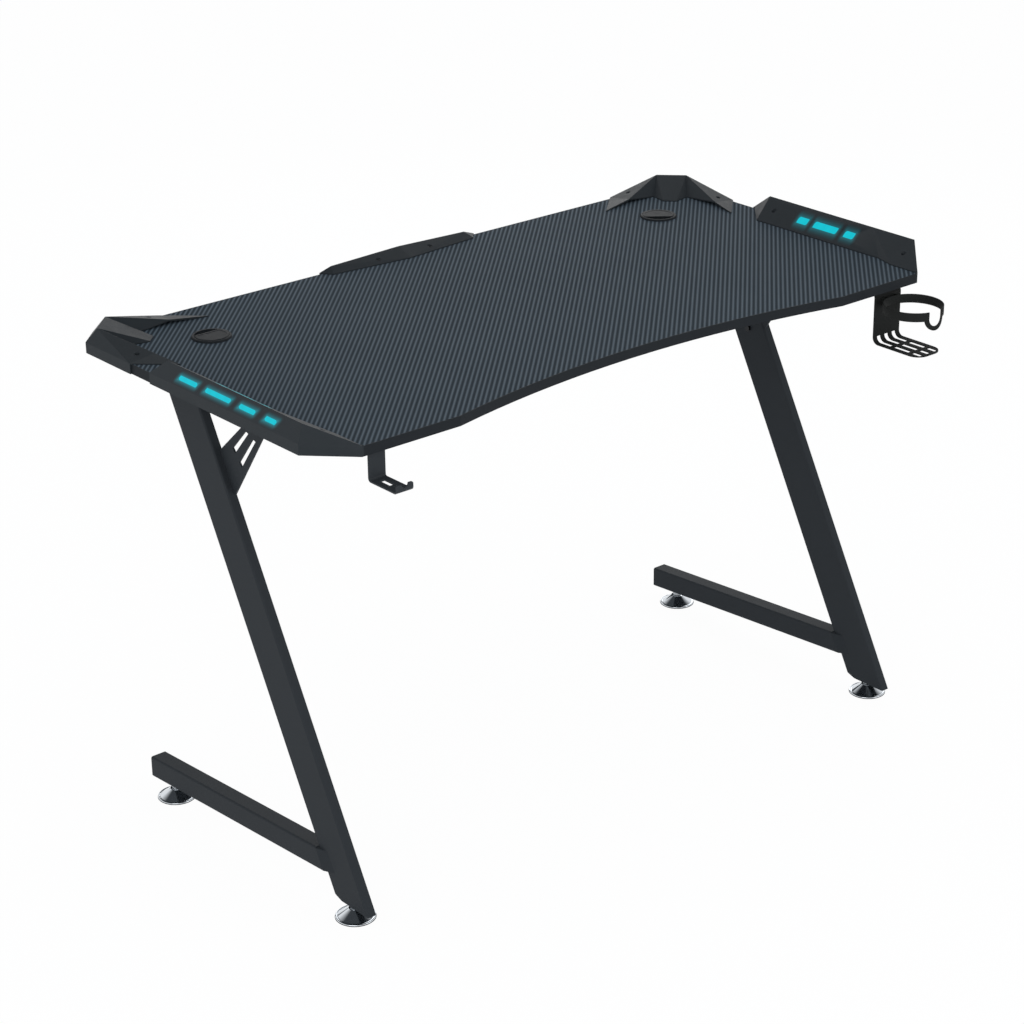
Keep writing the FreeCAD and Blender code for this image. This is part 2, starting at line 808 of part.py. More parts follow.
base_stem = padded("base_stem", "YZ_Plane", [
    (plug_start, base_line(plug_start, WALL + GAP)), (BASE_END, base_line(BASE_END, WALL + GAP)),
    (BASE_END, base_line(BASE_END, plug_high)), (plug_start, base_line(plug_start, plug_high)),
], BASE_INNER - 2 * GAP)
head_low = base_line(BASE_END, 0 * WALL)
head_high = base_line(BASE_END, size("base_height"))
head_plan = rectangle(BASE_IN, BASE_OUT, head_low, head_high)
base_head = padded("base_head", "XZ_Plane", head_plan, size("plug_head"))
round_tube(base_head, "head_round", FreeCAD.Vector(0, 1, 0))
move(base_head, y=BASE_END + size("plug_head"))
pair("base_plug", fuse("base_plug", move(base_stem, x=BASE_IN + WALL + GAP), base_head))

# Top bars under the board, with a plug in each end
TOP_LENGTH = TOP_STOP - TOP_START - 2 * size("plug_head")
TOP_REAR = TOP_STOP - size("plug_head")
top_blank = padded("top_blank", "XZ_Plane", rectangle(LEG_IN, LEG_OUT, BEAM_FLOOR, UNDER), TOP_LENGTH)
round_tube(top_blank, "top_round", FreeCAD.Vector(0, 1, 0))
top_cavity = box("top_cavity", (LEG_IN + WALL, TOP_START - OVER, BEAM_FLOOR + WALL),
                 (LEG_INNER, TOP_STOP - TOP_START + 2 * OVER, size("top_height") - 2 * WALL))
top_drills = holes("bar_drill", TOP_SCREWS, BEAM_FLOOR - OVER, UNDER + OVER)
FRONT_BEAM = FRONT + size("front_beam_setback")
REAR_BEAM = REAR - size("rear_beam_setback") - size("beam_depth")
BOLT_REACH = size("beam_plate_margin") / 2
BEAM_MID = UNDER - size("beam_height") / 2
BEAM_BOLTS = [beam + step for beam in (FRONT_BEAM, REAR_BEAM)
              for step in (-BOLT_REACH, size("beam_depth") + BOLT_REACH)]
for number, bolt_y in enumerate(BEAM_BOLTS):
    top_drills.append(rod("plate_drill_%d" % number, (LEG_IN - OVER, bolt_y, BEAM_MID), BOLT_HOLE,
                          OVER + 2 * WALL, "x"))
pair("top_bar", cut("top_bar", move(top_blank, y=TOP_REAR), top_cavity, *top_drills))
top_plugs = []
for place, stem_y, head_y in (("front", TOP_START, TOP_START),
                              ("rear", TOP_REAR - size("plug_depth"), TOP_REAR)):
    stem = box("top_stem_" + place, (LEG_IN + WALL + GAP, stem_y, BEAM_FLOOR + WALL + GAP),
               (LEG_INNER - 2 * GAP, size("plug_depth") + size("plug_head"),
                size("top_height") - 2 * (WALL + GAP)))
    head = box("top_head_" + place, (LEG_IN, head_y, BEAM_FLOOR),
               (size("tube_width"), size("plug_head"), size("top_height")))
    top_plugs.append(fuse("top_plug_" + place, stem, head))
node(both_ends("top_plugs", top_plugs), "top_plugs")

# Gussets between each leg and its top bar
gusset_low = BEAM_FLOOR - size("gusset_low")
gusset_high = BEAM_FLOOR - size("gusset_high")
gusset_toe = leg_front(BEAM_FLOOR, 0 * WALL) - size("gusset_reach")
GUSSET = [(leg_front(gusset_low, 0 * WALL), gusset_low), (gusset_toe, BEAM_FLOOR),
          (gusset_toe + size("gusset_width"), BEAM_FLOOR), (leg_front(gusset_high, 0 * WALL), gusset_high)]


def on_gusset(along, across):
    """A place on the plate, by shares along it and across it."""
    return tuple((1 - along) * ((1 - across) * GUSSET[0][k] + across * GUSSET[3][k])
                 + along * ((1 - across) * GUSSET[1][k] + across * GUSSET[2][k]) for k in (0, 1))


plate = padded("gusset_plate", "YZ_Plane", GUSSET, size("gusset_thickness"))
GUSSET_X = LEG_IN + size("tube_corner") - size("gusset_thickness") / 2
slots = []
for number, (start, stop, low, high) in enumerate(GUSSET_SLOT_SHARES):
    slot = padded("gusset_slot_%d" % number, "YZ_Plane",
                  [on_gusset(start, low), on_gusset(stop, low), on_gusset(stop, high),
                   on_gusset(start, high)], size("gusset_thickness") + 2 * OVER)
    slots.append(move(slot, x=GUSSET_X - OVER))
pair("gusset", cut("gusset", move(plate, x=GUSSET_X), *slots))

# Cross rails with welded end plates, bolted to the top bars
BEAM_LOW = UNDER - size("beam_height")
BEAM_START = LEG_IN - size("beam_plate")
plates = []
for place, beam_y in (("front", FRONT_BEAM), ("rear", REAR_BEAM)):
    beam_rear = beam_y + size("beam_depth")
    rail = padded("rail_" + place, "YZ_Plane", rectangle(beam_y, beam_rear, BEAM_LOW, UNDER), 2 * BEAM_START)
    round_tube(rail, "rail_round_" + place, FreeCAD.Vector(1, 0, 0))
    bore = box("rail_bore_" + place, (-BEAM_START - OVER, beam_y + WALL, BEAM_LOW + WALL),
               (2 * (BEAM_START + OVER), size("beam_depth") - 2 * WALL, size("beam_height") - 2 * WALL))
    node(cut("beam_" + place, move(rail, x=-BEAM_START), bore), place + "_beam")
    plate_depth = size("beam_depth") + 2 * size("beam_plate_margin")
    plates.append(box("plate_" + place, (BEAM_START, beam_y - size("beam_plate_margin"), BEAM_LOW),
                      (size("beam_plate"), plate_depth, size("beam_height"))))
plate_drills = [rod("end_drill_%d" % number, (BEAM_START - OVER, bolt_y, BEAM_MID), BOLT_HOLE,
                    size("beam_plate") + 2 * OVER, "x") for number, bolt_y in enumerate(BEAM_BOLTS)]
node(both_ends("beam_plates", [cut("end_plates", group("end_blanks", plates), *plate_drills)]), "beam_plates")
node(both_ends("beam_bolts", [bolt("beam_bolt_%d" % number, BEAM_START, bolt_y, BEAM_MID)
                              for number, bolt_y in enumerate(BEAM_BOLTS)]), "beam_bolts")

# Faceted plastics: each is a thin shell with an upright edge, screw bosses and a skirt over the board's edge
EDGE = size("edge_height")
SKIRT_WALL = SKIRT - size("fit_gap")


def faceted(floor, peaks, roof):
    """Solid over a floor outline; the roof's faces name corners of the floor's upper edge and peaks."""
    low = {name: point(x, y, TOP) for name, (x, y) in floor.items()}
    high = {name: point(x, y, TOP + EDGE) for name, (x, y) in floor.items()}
    high.update({name: point(*place) for name, place in peaks.items()})
    rim = list(floor)
    faces = [[low[name] for name in rim]]
    for first, second in zip(rim, rim[1:] + rim[:1]):
        faces.append([low[first], low[second], high[second], high[first]])
    faces += [[high[name] for name in face.split()] for face in roof]
    return solid_from(faces)


def shelled(outer, shift):
    inner = outer.copy()
    inner.translate(shift)
    return outer.cut(inner)


def skirt_of(outline):
    """Wall that hangs over the board's edge, from its plan outline."""
    corners = [point(x, y, UNDER) for x, y in outline]
    return prism(corners, point(0, 0, size("board_thickness") + EDGE))


def with_screws(outer, shell, places):
    """Adds a boss with a sunk seat for each screw."""
    seat = TOP + size("screw_seat")
    for x, y in places:
        boss = Part.makeCylinder(float(size("boss_diameter")) / 2, float(TOP), point(x, y, TOP))
        shell = shell.fuse(boss.common(outer))
        head = float(size("screw_head_diameter")) / 2 + float(size("recess_gap"))
        shell = shell.cut(Part.makeCylinder(head, float(TOP), point(x, y, seat)))
        shell = shell.cut(Part.makeCylinder(float(SCREW_HOLE), float(TOP), point(x, y, UNDER)))
    return shell


def sunk_screws(name, places):
    reach = size("screw_seat") + size("screw_grip")
    return [screw("%s_%d" % (name, number), x, y, TOP + size("screw_seat"), reach)
            for number, (x, y) in enumerate(places)]


# Corner covers: one wing runs along the back, the other along the end
def cap_wing(reach, kink):
    """Floor corners of a wing, each given along its edge and in from it."""
    return {
        "cut": (size("rear_chamfer"), 0 * EDGE),
        "end": (reach, 0 * EDGE),
        "tip": (size("tip_along"), size("tip_in")),
        "kink": (kink, size("kink_in")),
        "recess": (size("recess_along"), size("recess_in")),
        "shield": (size("shield_along"), size("shield_in")),
    }


back_wing = cap_wing(size("cap_reach"), size("kink_along"))
side_wing = cap_wing(size("cap_side_reach"), size("kink_side_along"))
CAP_PLAN = {name: at_corner(*place) for name, place in back_wing.items()}
CAP_PLAN.update({name + "_side": at_corner(*reversed(side_wing[name])) for name in reversed(side_wing)})
CAP_PEAK = TOP + size("cap_height")
CAP_FOLD = TOP + size("kink_height")
CAP_PEAKS = {"apex": (*at_corner(size("apex_along"), size("apex_in")), CAP_PEAK),
             "apex_side": (*at_corner(size("apex_in"), size("apex_along")), CAP_PEAK),
             "kink": (*CAP_PLAN["kink"], CAP_FOLD),
             "kink_side": (*CAP_PLAN["kink_side"], CAP_FOLD)}
CAP_ROOF = [
    "end apex kink", "end kink tip", "kink apex recess", "recess apex shield", "cut apex end",
    "end_side apex_side kink_side", "end_side kink_side tip_side", "kink_side apex_side recess_side",
    "recess_side apex_side shield_side", "cut_side apex_side end_side",
    "apex apex_side shield_side shield", "cut cut_side apex_side apex",
]
cap_outer = faceted(CAP_PLAN, CAP_PEAKS, CAP_ROOF)
cap_shell = shelled(cap_outer, point(-size("cap_side_wall"), -size("cap_side_wall"), -size("cap_wall")))
wrap = size("rear_chamfer") + CORNER_SHARE * SKIRT_WALL
cap_skirt = skirt_of([at_corner(u, v) for u, v in (
    (size("cap_reach"), 0), (size("rear_chamfer"), 0), (0, size("rear_chamfer")),
    (0, size("cap_side_reach")), (SKIRT_WALL, size("cap_side_reach")), (SKIRT_WALL, wrap), (wrap, SKIRT_WALL),
    (size("cap_reach"), SKIRT_WALL))])
pair("corner_cap", feature("corner_cap", with_screws(cap_outer, cap_shell.fuse(cap_skirt), CAP_SCREWS)))
node(both_ends("cap_screws", sunk_screws("cap_screw", CAP_SCREWS)), "cap_screws")

# Light bars with their windows, lenses and circuit strips
BAR_PLAN = {name: at_bar(*place) for name, place in {
    "back": (0 * EDGE, BAR_BACK),
    "side": (0 * EDGE, size("front_chamfer")),
    "nose": (size("front_chamfer"), 0 * EDGE),
    "bend": (size("front_chamfer"), size("nose_back")),
    "waist": (size("inner_in"), size("inner_crease")),
    "heel": (size("inner_in"), BAR_BACK - size("inner_back_inset")),
}.items()}
BAR_PEAK = TOP + size("bar_height")
BAR_RIDGE = {name: (*at_bar(size("ridge_in"), back), BAR_PEAK) for name, back in (
    ("ridge_back", BAR_BACK - size("ridge_back_inset")), ("ridge_crease", size("ridge_crease")),
    ("ridge_front", size("ridge_front")))}
BAR_ROOF = [
    "back side ridge_front ridge_crease ridge_back", "back ridge_back heel",
    "heel ridge_back ridge_crease waist", "waist ridge_crease bend", "bend ridge_crease ridge_front nose",
    "side nose ridge_front",
]
bar_outer = faceted(BAR_PLAN, BAR_RIDGE, BAR_ROOF)
bar_shell = shelled(bar_outer, point(-size("bar_side_wall"), 0, -size("bar_wall")))


def row_ends(row):
    """Front and back end of a row of windows, behind the front edge."""
    return [share * BAR_BACK for share in WINDOW_ROW_SHARES[row]]


def window_prisms(shrink):
    """Slanted window blocks of one bar, drawn in all round."""
    rows = (
        (OUTER_WINDOW_SHARES, "outer", -OVER, size("window_reach")),
        (INNER_WINDOW_SHARES, "inner", size("lens_reach"), size("inner_in")),
    )
    blocks = []
    for shares, row, near, far in rows:
        low = TOP + size("window_low") + shrink
        high = TOP + size("window_low") + size(row + "_window_height") - shrink
        lean = size(row + "_window_slant")
        row_start, row_stop = row_ends(row)
        for start_share, stop_share in shares:
            start = FRONT + row_start + start_share * (row_stop - row_start) + shrink
            stop = FRONT + row_start + stop_share * (row_stop - row_start) - shrink
            x = END - near
            block = prism([point(x, start + lean, low), point(x, stop + lean, low), point(x, stop, high),
                           point(x, start, high)], point(near - far, 0, 0))
            depth = float(far - near)
            long_edges = [edge for edge in block.Edges if abs(edge.BoundBox.XLength - depth) < TOUCH]
            blocks.append(block.makeFillet(float(size("window_corner")), long_edges))
    return blocks


bar_wrap = size("front_chamfer") + CORNER_SHARE * SKIRT_WALL
bar_skirt = skirt_of([at_bar(w, s) for w, s in (
    (0, BAR_BACK), (0, size("front_chamfer")), (size("front_chamfer"), 0), (bar_wrap + SKIRT_WALL, 0),
    (SKIRT_WALL, bar_wrap), (SKIRT_WALL, BAR_BACK))])
bar_body = with_screws(bar_outer, bar_shell.fuse(bar_skirt), BAR_SCREWS)
pair("light_bar", feature("light_bar", bar_body.cut(Part.makeCompound(window_prisms(0 * GAP)))))
pair("lens", feature("lens", Part.makeCompound([block.common(bar_shell) for block in window_prisms(GAP)])))
node(both_ends("bar_screws", sunk_screws("bar_screw", BAR_SCREWS)), "bar_screws")
row_start, row_stop = row_ends("outer")
strip_start = row_start - size("led_board_margin")
strip_length = row_stop - row_start + 2 * size("led_board_margin")
strip_far = size("led_board_in") + size("led_board_thickness")
strip = [box("led_strip", (*at_bar(strip_far, strip_start), TOP),
             (size("led_board_thickness"), strip_length, size("led_board_height")))]
for number in range(int(float(strip_length) / float(size("chip_pitch")))):
    chip_y = strip_start + (number + 0.5) * size("chip_pitch")
    for face, chip_in in (("outer", size("led_board_in")), ("inner", strip_far + size("chip_height"))):
        strip.append(box("chip_%s_%d" % (face, number), (*at_bar(chip_in, chip_y), TOP + size("chip_level")),
                         (size("chip_height"), size("chip_size"), size("chip_size"))))
pair("led_board", fuse("led_board", *strip))

# Low strip at the middle of the back edge
TRIM_HALF = size("trim_width") / 2
TRIM_PLAN = {
    "end": (TRIM_HALF, REAR),
    "end_left": (-TRIM_HALF, REAR),
    "nose_left": (-size("trim_nose_width") / 2, REAR - size("trim_end_depth")),
    "middle": (0 * TRIM_HALF, REAR - size("trim_depth")),
    "nose": (size("trim_nose_width") / 2, REAR - size("trim_end_depth")),
}
trim_line = REAR - size("trim_lean")
TRIM_RIDGE = {
    "ridge": (size("trim_shoulder_width") / 2, trim_line, TOP + size("trim_shoulder")),
    "peak": (0 * TRIM_HALF, trim_line, TOP + size("trim_peak")),
    "ridge_left": (-size("trim_shoulder_width") / 2, trim_line, TOP + size("trim_shoulder")),
}
TRIM_ROOF = [
    "end ridge peak", "end peak end_left", "end_left peak ridge_left", "end nose ridge",
    "end_left ridge_left nose_left", "ridge nose middle", "ridge middle peak", "peak middle ridge_left",
    "ridge_left middle nose_left",
]
trim_outer = faceted(TRIM_PLAN, TRIM_RIDGE, TRIM_ROOF)
trim_shell = shelled(trim_outer, point(0, -size("trim_side_wall"), -size("trim_wall")))
trim_skirt = skirt_of([(TRIM_HALF, REAR), (-TRIM_HALF, REAR), (-TRIM_HALF, REAR - SKIRT_WALL),
                       (TRIM_HALF, REAR - SKIRT_WALL)])
trim_body = with_screws(trim_outer, trim_shell.fuse(trim_skirt), twins(TRIM_SCREWS))
node(feature("rear_trim", trim_body), "rear_trim")
node(both_ends("trim_screws", sunk_screws("trim_screw", TRIM_SCREWS)), "trim_screws")


# Bent sheet brackets under the front edge
def bracket(name, face, tray_end, drop, sheet_size, flange, lip, bend, width):
    """Sheet bent into flange, back plate and tray, with a lip if it has one; drawn in side view."""
    floor = UNDER - drop
    tray = floor + sheet_size
    inner = [(face, UNDER), (face, tray)]
    outer = [(tray_end, floor), (face + sheet_size, floor)]
    inner_bends = [(face + sheet_size, UNDER - sheet_size), (face, tray)]
    outer_bends = [(face, UNDER), (face + sheet_size, floor)]
    if lip:
        inner += [(tray_end + sheet_size, tray), (tray_end + sheet_size, floor + lip),
                  (tray_end, floor + lip)]
        inner_bends.append((tray_end + sheet_size, tray))
        outer_bends.append((tray_end, floor))
    else:
        inner.append((tray_end, tray))
    corners = [(face + flange, UNDER)] + inner + outer
    corners += [(face + sheet_size, UNDER - sheet_size), (face + flange, UNDER - sheet_size)]
    body = padded(name, "YZ_Plane", corners, width)
    rounded(body, name + "_inner_bends", edges_through(body.Shape, inner_bends), bend)
    return rounded(body, name + "_outer_bends", edges_through(body.Shape, outer_bends), bend + sheet_size)


# Headphone hook
HOOK_END = FRONT - size("hook_overhang")
HOOK_FLOOR = UNDER - size("hook_drop")
hook = bracket("hook_sheet", HOOK_FACE, HOOK_END, size("hook_drop"), size("hook_sheet"), size("hook_flange"),
               size("hook_lip"), size("hook_bend"), size("hook_width"))
HOOK_TIP = HOOK_FLOOR + size("hook_lip")
lip_corners = [name for name in edges_along(hook.Shape, FreeCAD.Vector(0, 1, 0))
               if abs(hook.Shape.getElement(name).Vertexes[0].Point.z - float(HOOK_TIP)) < TOUCH]
rounded(hook, "lip_round", lip_corners, size("hook_lip_corner"))
move(hook, x=HOOK_MID - size("hook_width") / 2)
lip_hollow = rod("lip_hollow", (HOOK_MID, HOOK_END - OVER, HOOK_TIP),
                 size("hook_lip_hollow"), size("hook_sheet") + 2 * OVER, "y")
hook_slot = box("hook_slot", (HOOK_MID - size("hook_slot_width") / 2, HOOK_FACE - size("hook_slot_setback")
                              - size("hook_slot_length") / 2, HOOK_FLOOR - OVER),
                (size("hook_slot_width"), size("hook_slot_length"), size("hook_sheet") + 2 * OVER))
hook_drills = holes("hook_drill", HOOK_SCREWS, UNDER - size("hook_sheet") - OVER, UNDER + OVER)
node(cut("hook", hook, lip_hollow, hook_slot, *hook_drills), "headphone_hook")
node(group("hook_screws", [
    screw("hook_screw_%d" % number, x, y, UNDER - size("hook_sheet"),
          size("hook_sheet") + size("screw_grip"), True)
    for number, (x, y) in enumerate(HOOK_SCREWS)]), "hook_screws")

# Cup holder: slotted bracket with a ring for the cup
TRAY_END = FRONT - size("holder_reach")
HOLDER_FLOOR = UNDER - size("holder_drop")
tray = bracket("holder_sheet", HOLDER_FACE, TRAY_END, size("holder_drop"), size("holder_sheet"),
               size("holder_flange"), None, size("holder_bend"), size("holder_width"))
tray_corners = [name for name in edges_along(tray.Shape, FreeCAD.Vector(0, 0, 1))
                if abs(tray.Shape.getElement(name).Vertexes[0].Point.y - float(TRAY_END)) < TOUCH]
rounded(tray, "tray_round", tray_corners, size("holder_end_corner"))
move(tray, x=HOLDER_MID - size("holder_width") / 2)
column = (size("holder_width") - (TRAY_COLUMNS + 1) * size("holder_rail")) / TRAY_COLUMNS
tray_length = HOLDER_FACE - TRAY_END
slots = []
for number in range(TRAY_COLUMNS):
    left = HOLDER_MID - size("holder_width") / 2 + size("holder_rail")
    left = left + number * (column + size("holder_rail"))
    slots.append(box("plate_slot_%d" % number, (left, HOLDER_FACE - OVER, HOLDER_FLOOR - OVER),
                     (column, size("holder_sheet") + 2 * OVER,
                      OVER + PLATE_SLOT_SHARE * size("holder_drop"))))
    for row, (start, stop) in enumerate(TRAY_SLOT_SHARES):
        slots.append(box("tray_slot_%d_%d" % (number, row),
                         (left, HOLDER_FACE - stop * tray_length, HOLDER_FLOOR - OVER),
                         (column, (stop - start) * tray_length, size("holder_bend") + 2 * OVER)))
slots += holes("holder_drill", HOLDER_SCREWS, UNDER - size("holder_sheet") - OVER, UNDER + OVER)
node(cut("holder", tray, *slots), "cup_holder")
node(group("holder_screws", [
    screw("holder_screw_%d" % number, x, y, UNDER - size("holder_sheet"),
          size("holder_sheet") + size("screw_grip"), True)
    for number, (x, y) in enumerate(HOLDER_SCREWS)]), "holder_screws")

# Ring of the cup holder, with a dip for a mug's handle and two necks to the back plate
RING = size("ring_diameter") / 2
RING_Y = FRONT - size("ring_reach") + RING
RING_TOP = UNDER - size("ring_drop")
RING_LOW = RING_TOP - size("ring_band")
DIP = size("dip_width") / 2
DIP_LOW = RING_LOW - size("dip_depth")
DIP_MID = DIP_LOW + size("dip_strip") + DIP
outward = FreeCAD.Rotation(FreeCAD.Vector(0, 0, 1), float(size("dip_angle")))


def ring_pipe(name, low, high):
    centre = (HOLDER_MID, RING_Y)
    shell = rod(name + "_outer", (*centre, low), RING, high - low)
    bore = rod(name + "_bore", (*centre, low - OVER), RING - size("ring_sheet"),
               high - low + 2 * OVER)
    return cut(name, shell, bore)


def dip_zone(name, half, top):
    """Upright block with a round lower end that reaches outward from the ring's axis."""
    block = box(name + "_block", (HOLDER_MID + half * sine(size("dip_angle")),
                                  RING_Y - half * cosine(size("dip_angle")), DIP_MID),
                (size("ring_diameter"), 2 * half, top - DIP_MID))
    block.Placement.Rotation = outward
    end = rod(name + "_end", (HOLDER_MID, RING_Y, DIP_MID), half, size("ring_diameter"))
    end.Placement.Rotation = outward * AXIS_TURNS["x"]
    return fuse(name, block, end)


ring_band = ring_pipe("ring_band", RING_LOW, RING_TOP)
dip_pipe = ring_pipe("dip_pipe", DIP_LOW, RING_TOP)
dip_strip = common("dip_strip", dip_pipe, dip_zone("dip_outside", DIP + size("dip_strip"), RING_TOP))
NECK = size("neck_spread") / 2
neck_start = RING_Y + root(RING * RING - NECK * NECK) - size("ring_sheet") / 2
necks = [box("neck_%s" % place, (HOLDER_MID + side * NECK - size("ring_sheet") / 2, neck_start, RING_LOW),
             (size("ring_sheet"), HOLDER_FACE - neck_start, size("ring_band")))
         for place, side in (("left", -1), ("right", 1))]
node(cut("ring", fuse("ring_blank", ring_band, dip_strip, *necks),
         dip_zone("dip_inside", DIP, RING_TOP + OVER)), "cup_ring")

# Screws that hold the board to the top bars
node(both_ends("board_screws", [
    screw("board_screw_%d" % number, x, y, BEAM_FLOOR, size("top_height") + size("screw_grip"), True)
    for number, (x, y) in enumerate(TOP_SCREWS)]), "board_screws")

# Inlets of the light bars, under the board
socket_low = UNDER - size("socket_height")
socket_front = SOCKET[1] - size("socket_length") / 2
case = box("socket_case", (SOCKET[0] - size("socket_width") / 2, socket_front, socket_low),
           (size("socket_width"), size("socket_length"), size("socket_height")))
jack = box("socket_jack", (SOCKET[0] - size("socket_slot_width") / 2, socket_front - OVER,
                           socket_low + size("socket_height") / 2 - size("socket_slot_height") / 2),
           (size("socket_slot_width"), OVER + size("socket_slot_depth"), size("socket_slot_height")))
node(both_ends("power_sockets", [cut("power_socket", case, jack)]), "power_sockets")

doc.recompute()
for thing in doc.Objects:
    if "Invalid" in thing.State or "Error" in thing.State:
        raise RuntimeError("%s: %s" % (thing.Name, thing.State))
os.makedirs("parts", exist_ok=True)
for thing in nodes:
    if thing.Shape.isNull() or not thing.Shape.isValid():
        raise RuntimeError("bad shape: %s" % thing.Label)
    thing.Shape.exportStep("parts/%s.step" % thing.Label)
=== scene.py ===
import math

import bmesh
import bpy
from bpy.props import FloatProperty, FloatVectorProperty, PointerProperty
from mathutils import Matrix, Vector


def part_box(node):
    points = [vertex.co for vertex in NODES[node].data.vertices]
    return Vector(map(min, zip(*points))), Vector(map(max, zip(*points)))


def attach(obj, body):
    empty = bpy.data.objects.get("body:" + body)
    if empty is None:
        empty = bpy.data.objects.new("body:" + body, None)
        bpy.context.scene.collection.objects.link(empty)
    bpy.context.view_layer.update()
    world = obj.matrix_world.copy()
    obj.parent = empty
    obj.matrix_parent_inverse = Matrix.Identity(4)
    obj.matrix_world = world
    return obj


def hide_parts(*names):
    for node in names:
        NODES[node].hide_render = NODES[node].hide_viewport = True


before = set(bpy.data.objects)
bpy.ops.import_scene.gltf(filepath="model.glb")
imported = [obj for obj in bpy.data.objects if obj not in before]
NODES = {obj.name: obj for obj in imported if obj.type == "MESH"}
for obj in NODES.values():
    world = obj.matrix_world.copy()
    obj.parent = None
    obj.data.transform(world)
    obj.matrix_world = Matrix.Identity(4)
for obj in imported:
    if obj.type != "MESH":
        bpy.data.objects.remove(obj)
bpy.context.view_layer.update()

bl_info = {
    "name": "Gaming Desk Dresser",
    "version": (1, 0, 0),
    "blender": (4, 5, 0),
    "location": "View3D > Sidebar > Desk",
    "description": "Dresses the packed gaming desk with finishes, fittings and a studio",
    "category": "Object",
}

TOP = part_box("desktop_board")[1].z
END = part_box("light_bar_right")[1].x
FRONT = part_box("light_bar_right")[0].y
SIDES = ("left", "right")
ENDS = ("front", "rear")
WHITE = (1.0, 1.0, 1.0)

# Distances at which points are one, lie on a cut, are level, or are joined on a CAD node
ONE_POINT = 1e-7
ON_CUT = 1e-6
LEVEL = 1e-5
NODE_JOIN = 1e-5

# Steps round large and small turned pieces
FINE_STEPS = 96
COARSE_STEPS = 32

# Angles of a face that counts as flat and of an edge that counts as sharp, in degrees
FLAT_ANGLE = 1
SHARP_ANGLE = 25

# Laminate: skin that carries the ribs, and how narrow the ribs look
RIB_SKIN = 0.0004
RIB_SHARPNESS = 1.7

# Windows of a light bar: row ends as shares of the bar, windows as shares of the row, height and slant
BAR_LENGTH = 0.419
WINDOW_LOW = 0.011
WINDOWS = (
    ((0.26, 0.814), ((0, 0.11), (0.21, 0.37), (0.46, 0.72), (0.81, 1)), 0.0075, 0.007),
    ((0.394, 0.692), ((0, 0.17), (0.3, 0.71), (0.82, 1)), 0.0075, -0.002),
)

# Painted glow on a housing, emission that stands in for window light: outer wall, strength on the outer and
# inner side, and where it fades out
OUTER_WALL = 0.0058
OUTER_GLOW = 0.42
INNER_GLOW = 0.26
GLOW_FADE = 0.12

# Circuit strip: pitch, height and half height of its chips, place of the strip, pitch of the traces
CHIP_PITCH = 0.02
CHIP_RISE = 0.01675
CHIP_HALF = 0.0019
STRIP_INSET = 0.0133
STRIP_HALF = 0.0009
TRACE_PITCH = 0.003

# Cable sleeve: radii of its bore, neck and seat, heights over the board, lead-in and rounding
SLEEVE_BORE = 0.023
SLEEVE_NECK = 0.025
SLEEVE_SEAT = 0.026
SEAT_RISE = 0.0006
RIM_SLOPE = 0.0012
RIM_LEAD = 0.0002
ROUNDED_FROM = 0.0009
SLEEVE_ARRIS = 0.00035

# Turning cover: how far each one is turned, radius, cut side, rounding and dish
COVER_TURNS = (("left", 0.0), ("right", 140.0))
COVER_RADIUS = 0.0257
COVER_CUT = 0.013
COVER_ARRIS = 0.0008
DISH_MARGIN = 0.003
DISH_SLOPE = 0.0005
DISH_DEPTH = 0.0004

# Joint of a base bar with the rear face of its leg, and how far the dressed weld runs ahead of it
WELD_LOW = Vector((0, -0.1496, 0.0546))
WELD_HIGH = Vector((0, -0.1329, 0.0855))
WELD_AHEAD = Vector((0, -0.022, 0.0016))
WELD_ROOT = 0.0003
WELD_ROUND = 0.0016

# Levelling foot: half outlines of cup rim and of the dark pad that also stands in for the contact shadow
# under the rim (radius, height), then neck, bore and rounding
CUP_RIM = ((0, 0.0008), (0.0291, 0.0008), (0.0298, 0.0012), (0.030, 0.0018), (0.0297, 0.0025),
           (0.0288, 0.0031), (0.0278, 0.0031), (0.0269, 0.0025), (0.0258, 0.0028), (0.0107, 0.0143))
PAD_OUTLINE = ((0, 0), (0.0299, 0), (0.0303, 0.0003), (0.0303, 0.0006), (0.0299, 0.0009), (0, 0.0009))
CUP_NECK = 0.0099
CUP_BORE = 0.00415
CUP_FLOOR = 0.004
CUP_ARRIS = 0.0003
CUP_SHARP = 12
CUP_PLAIN = 0.01

# Stud and nut of a levelling foot
STUD_RADIUS = 0.004
STUD_FOOT = 0.0035
STUD_CHAMFER = 0.0006
STUD_TIP = 0.0032
THREAD_LOW = 0.0155
THREAD_ROOT = 0.0034
THREAD_CREST = 0.00398
NUT_WIDTH = 0.015
NUT_LOW = 0.0153
NUT_HIGH = 0.0177
NUT_ARRIS = 0.0006

# Pan-head screw: half outline of its top, then its head, shank, point and hexagon socket
HEAD_TOP = ((0.0018, -0.0007), (0.0021, -0.0001), (0.0026, -0.0001), (0.0032, -0.0005), (0.0035, -0.0012))
HEAD_RADIUS = 0.0035
HEAD_DEPTH = 0.0022
SHANK_RADIUS = 0.0018
POINT_RADIUS = 0.0017
POINT_LENGTH = 0.0035
SOCKET_RADIUS = 0.0014
SOCKET_TOP = 0.0007
SOCKET_DEPTH = 0.0009

# Cells in which the points of the CAD heads are gathered, and how near two halves of one head are
HEAD_CELL = 0.012
HEAD_NEAR = 0.009

# Rounding of the sheet brackets and of the sockets
BRACKET_ARRIS = 0.0003
SOCKET_ARRIS = 0.0005

# Studio: lamps with place, point that they face, width and power
LAMPS = {
    "key": ((-2.8, -2.0, 1.5), (0.0, 0.0, 0.6), 2.4, 34.0),
    "fill": ((1.6, -3.0, 1.6), (0.2, 0.0, 0.5), 2.4, 20.0),
    "rim": ((2.0, 2.3, 1.8), (0.3, 0.2, 0.75), 2.0, 14.0),
}

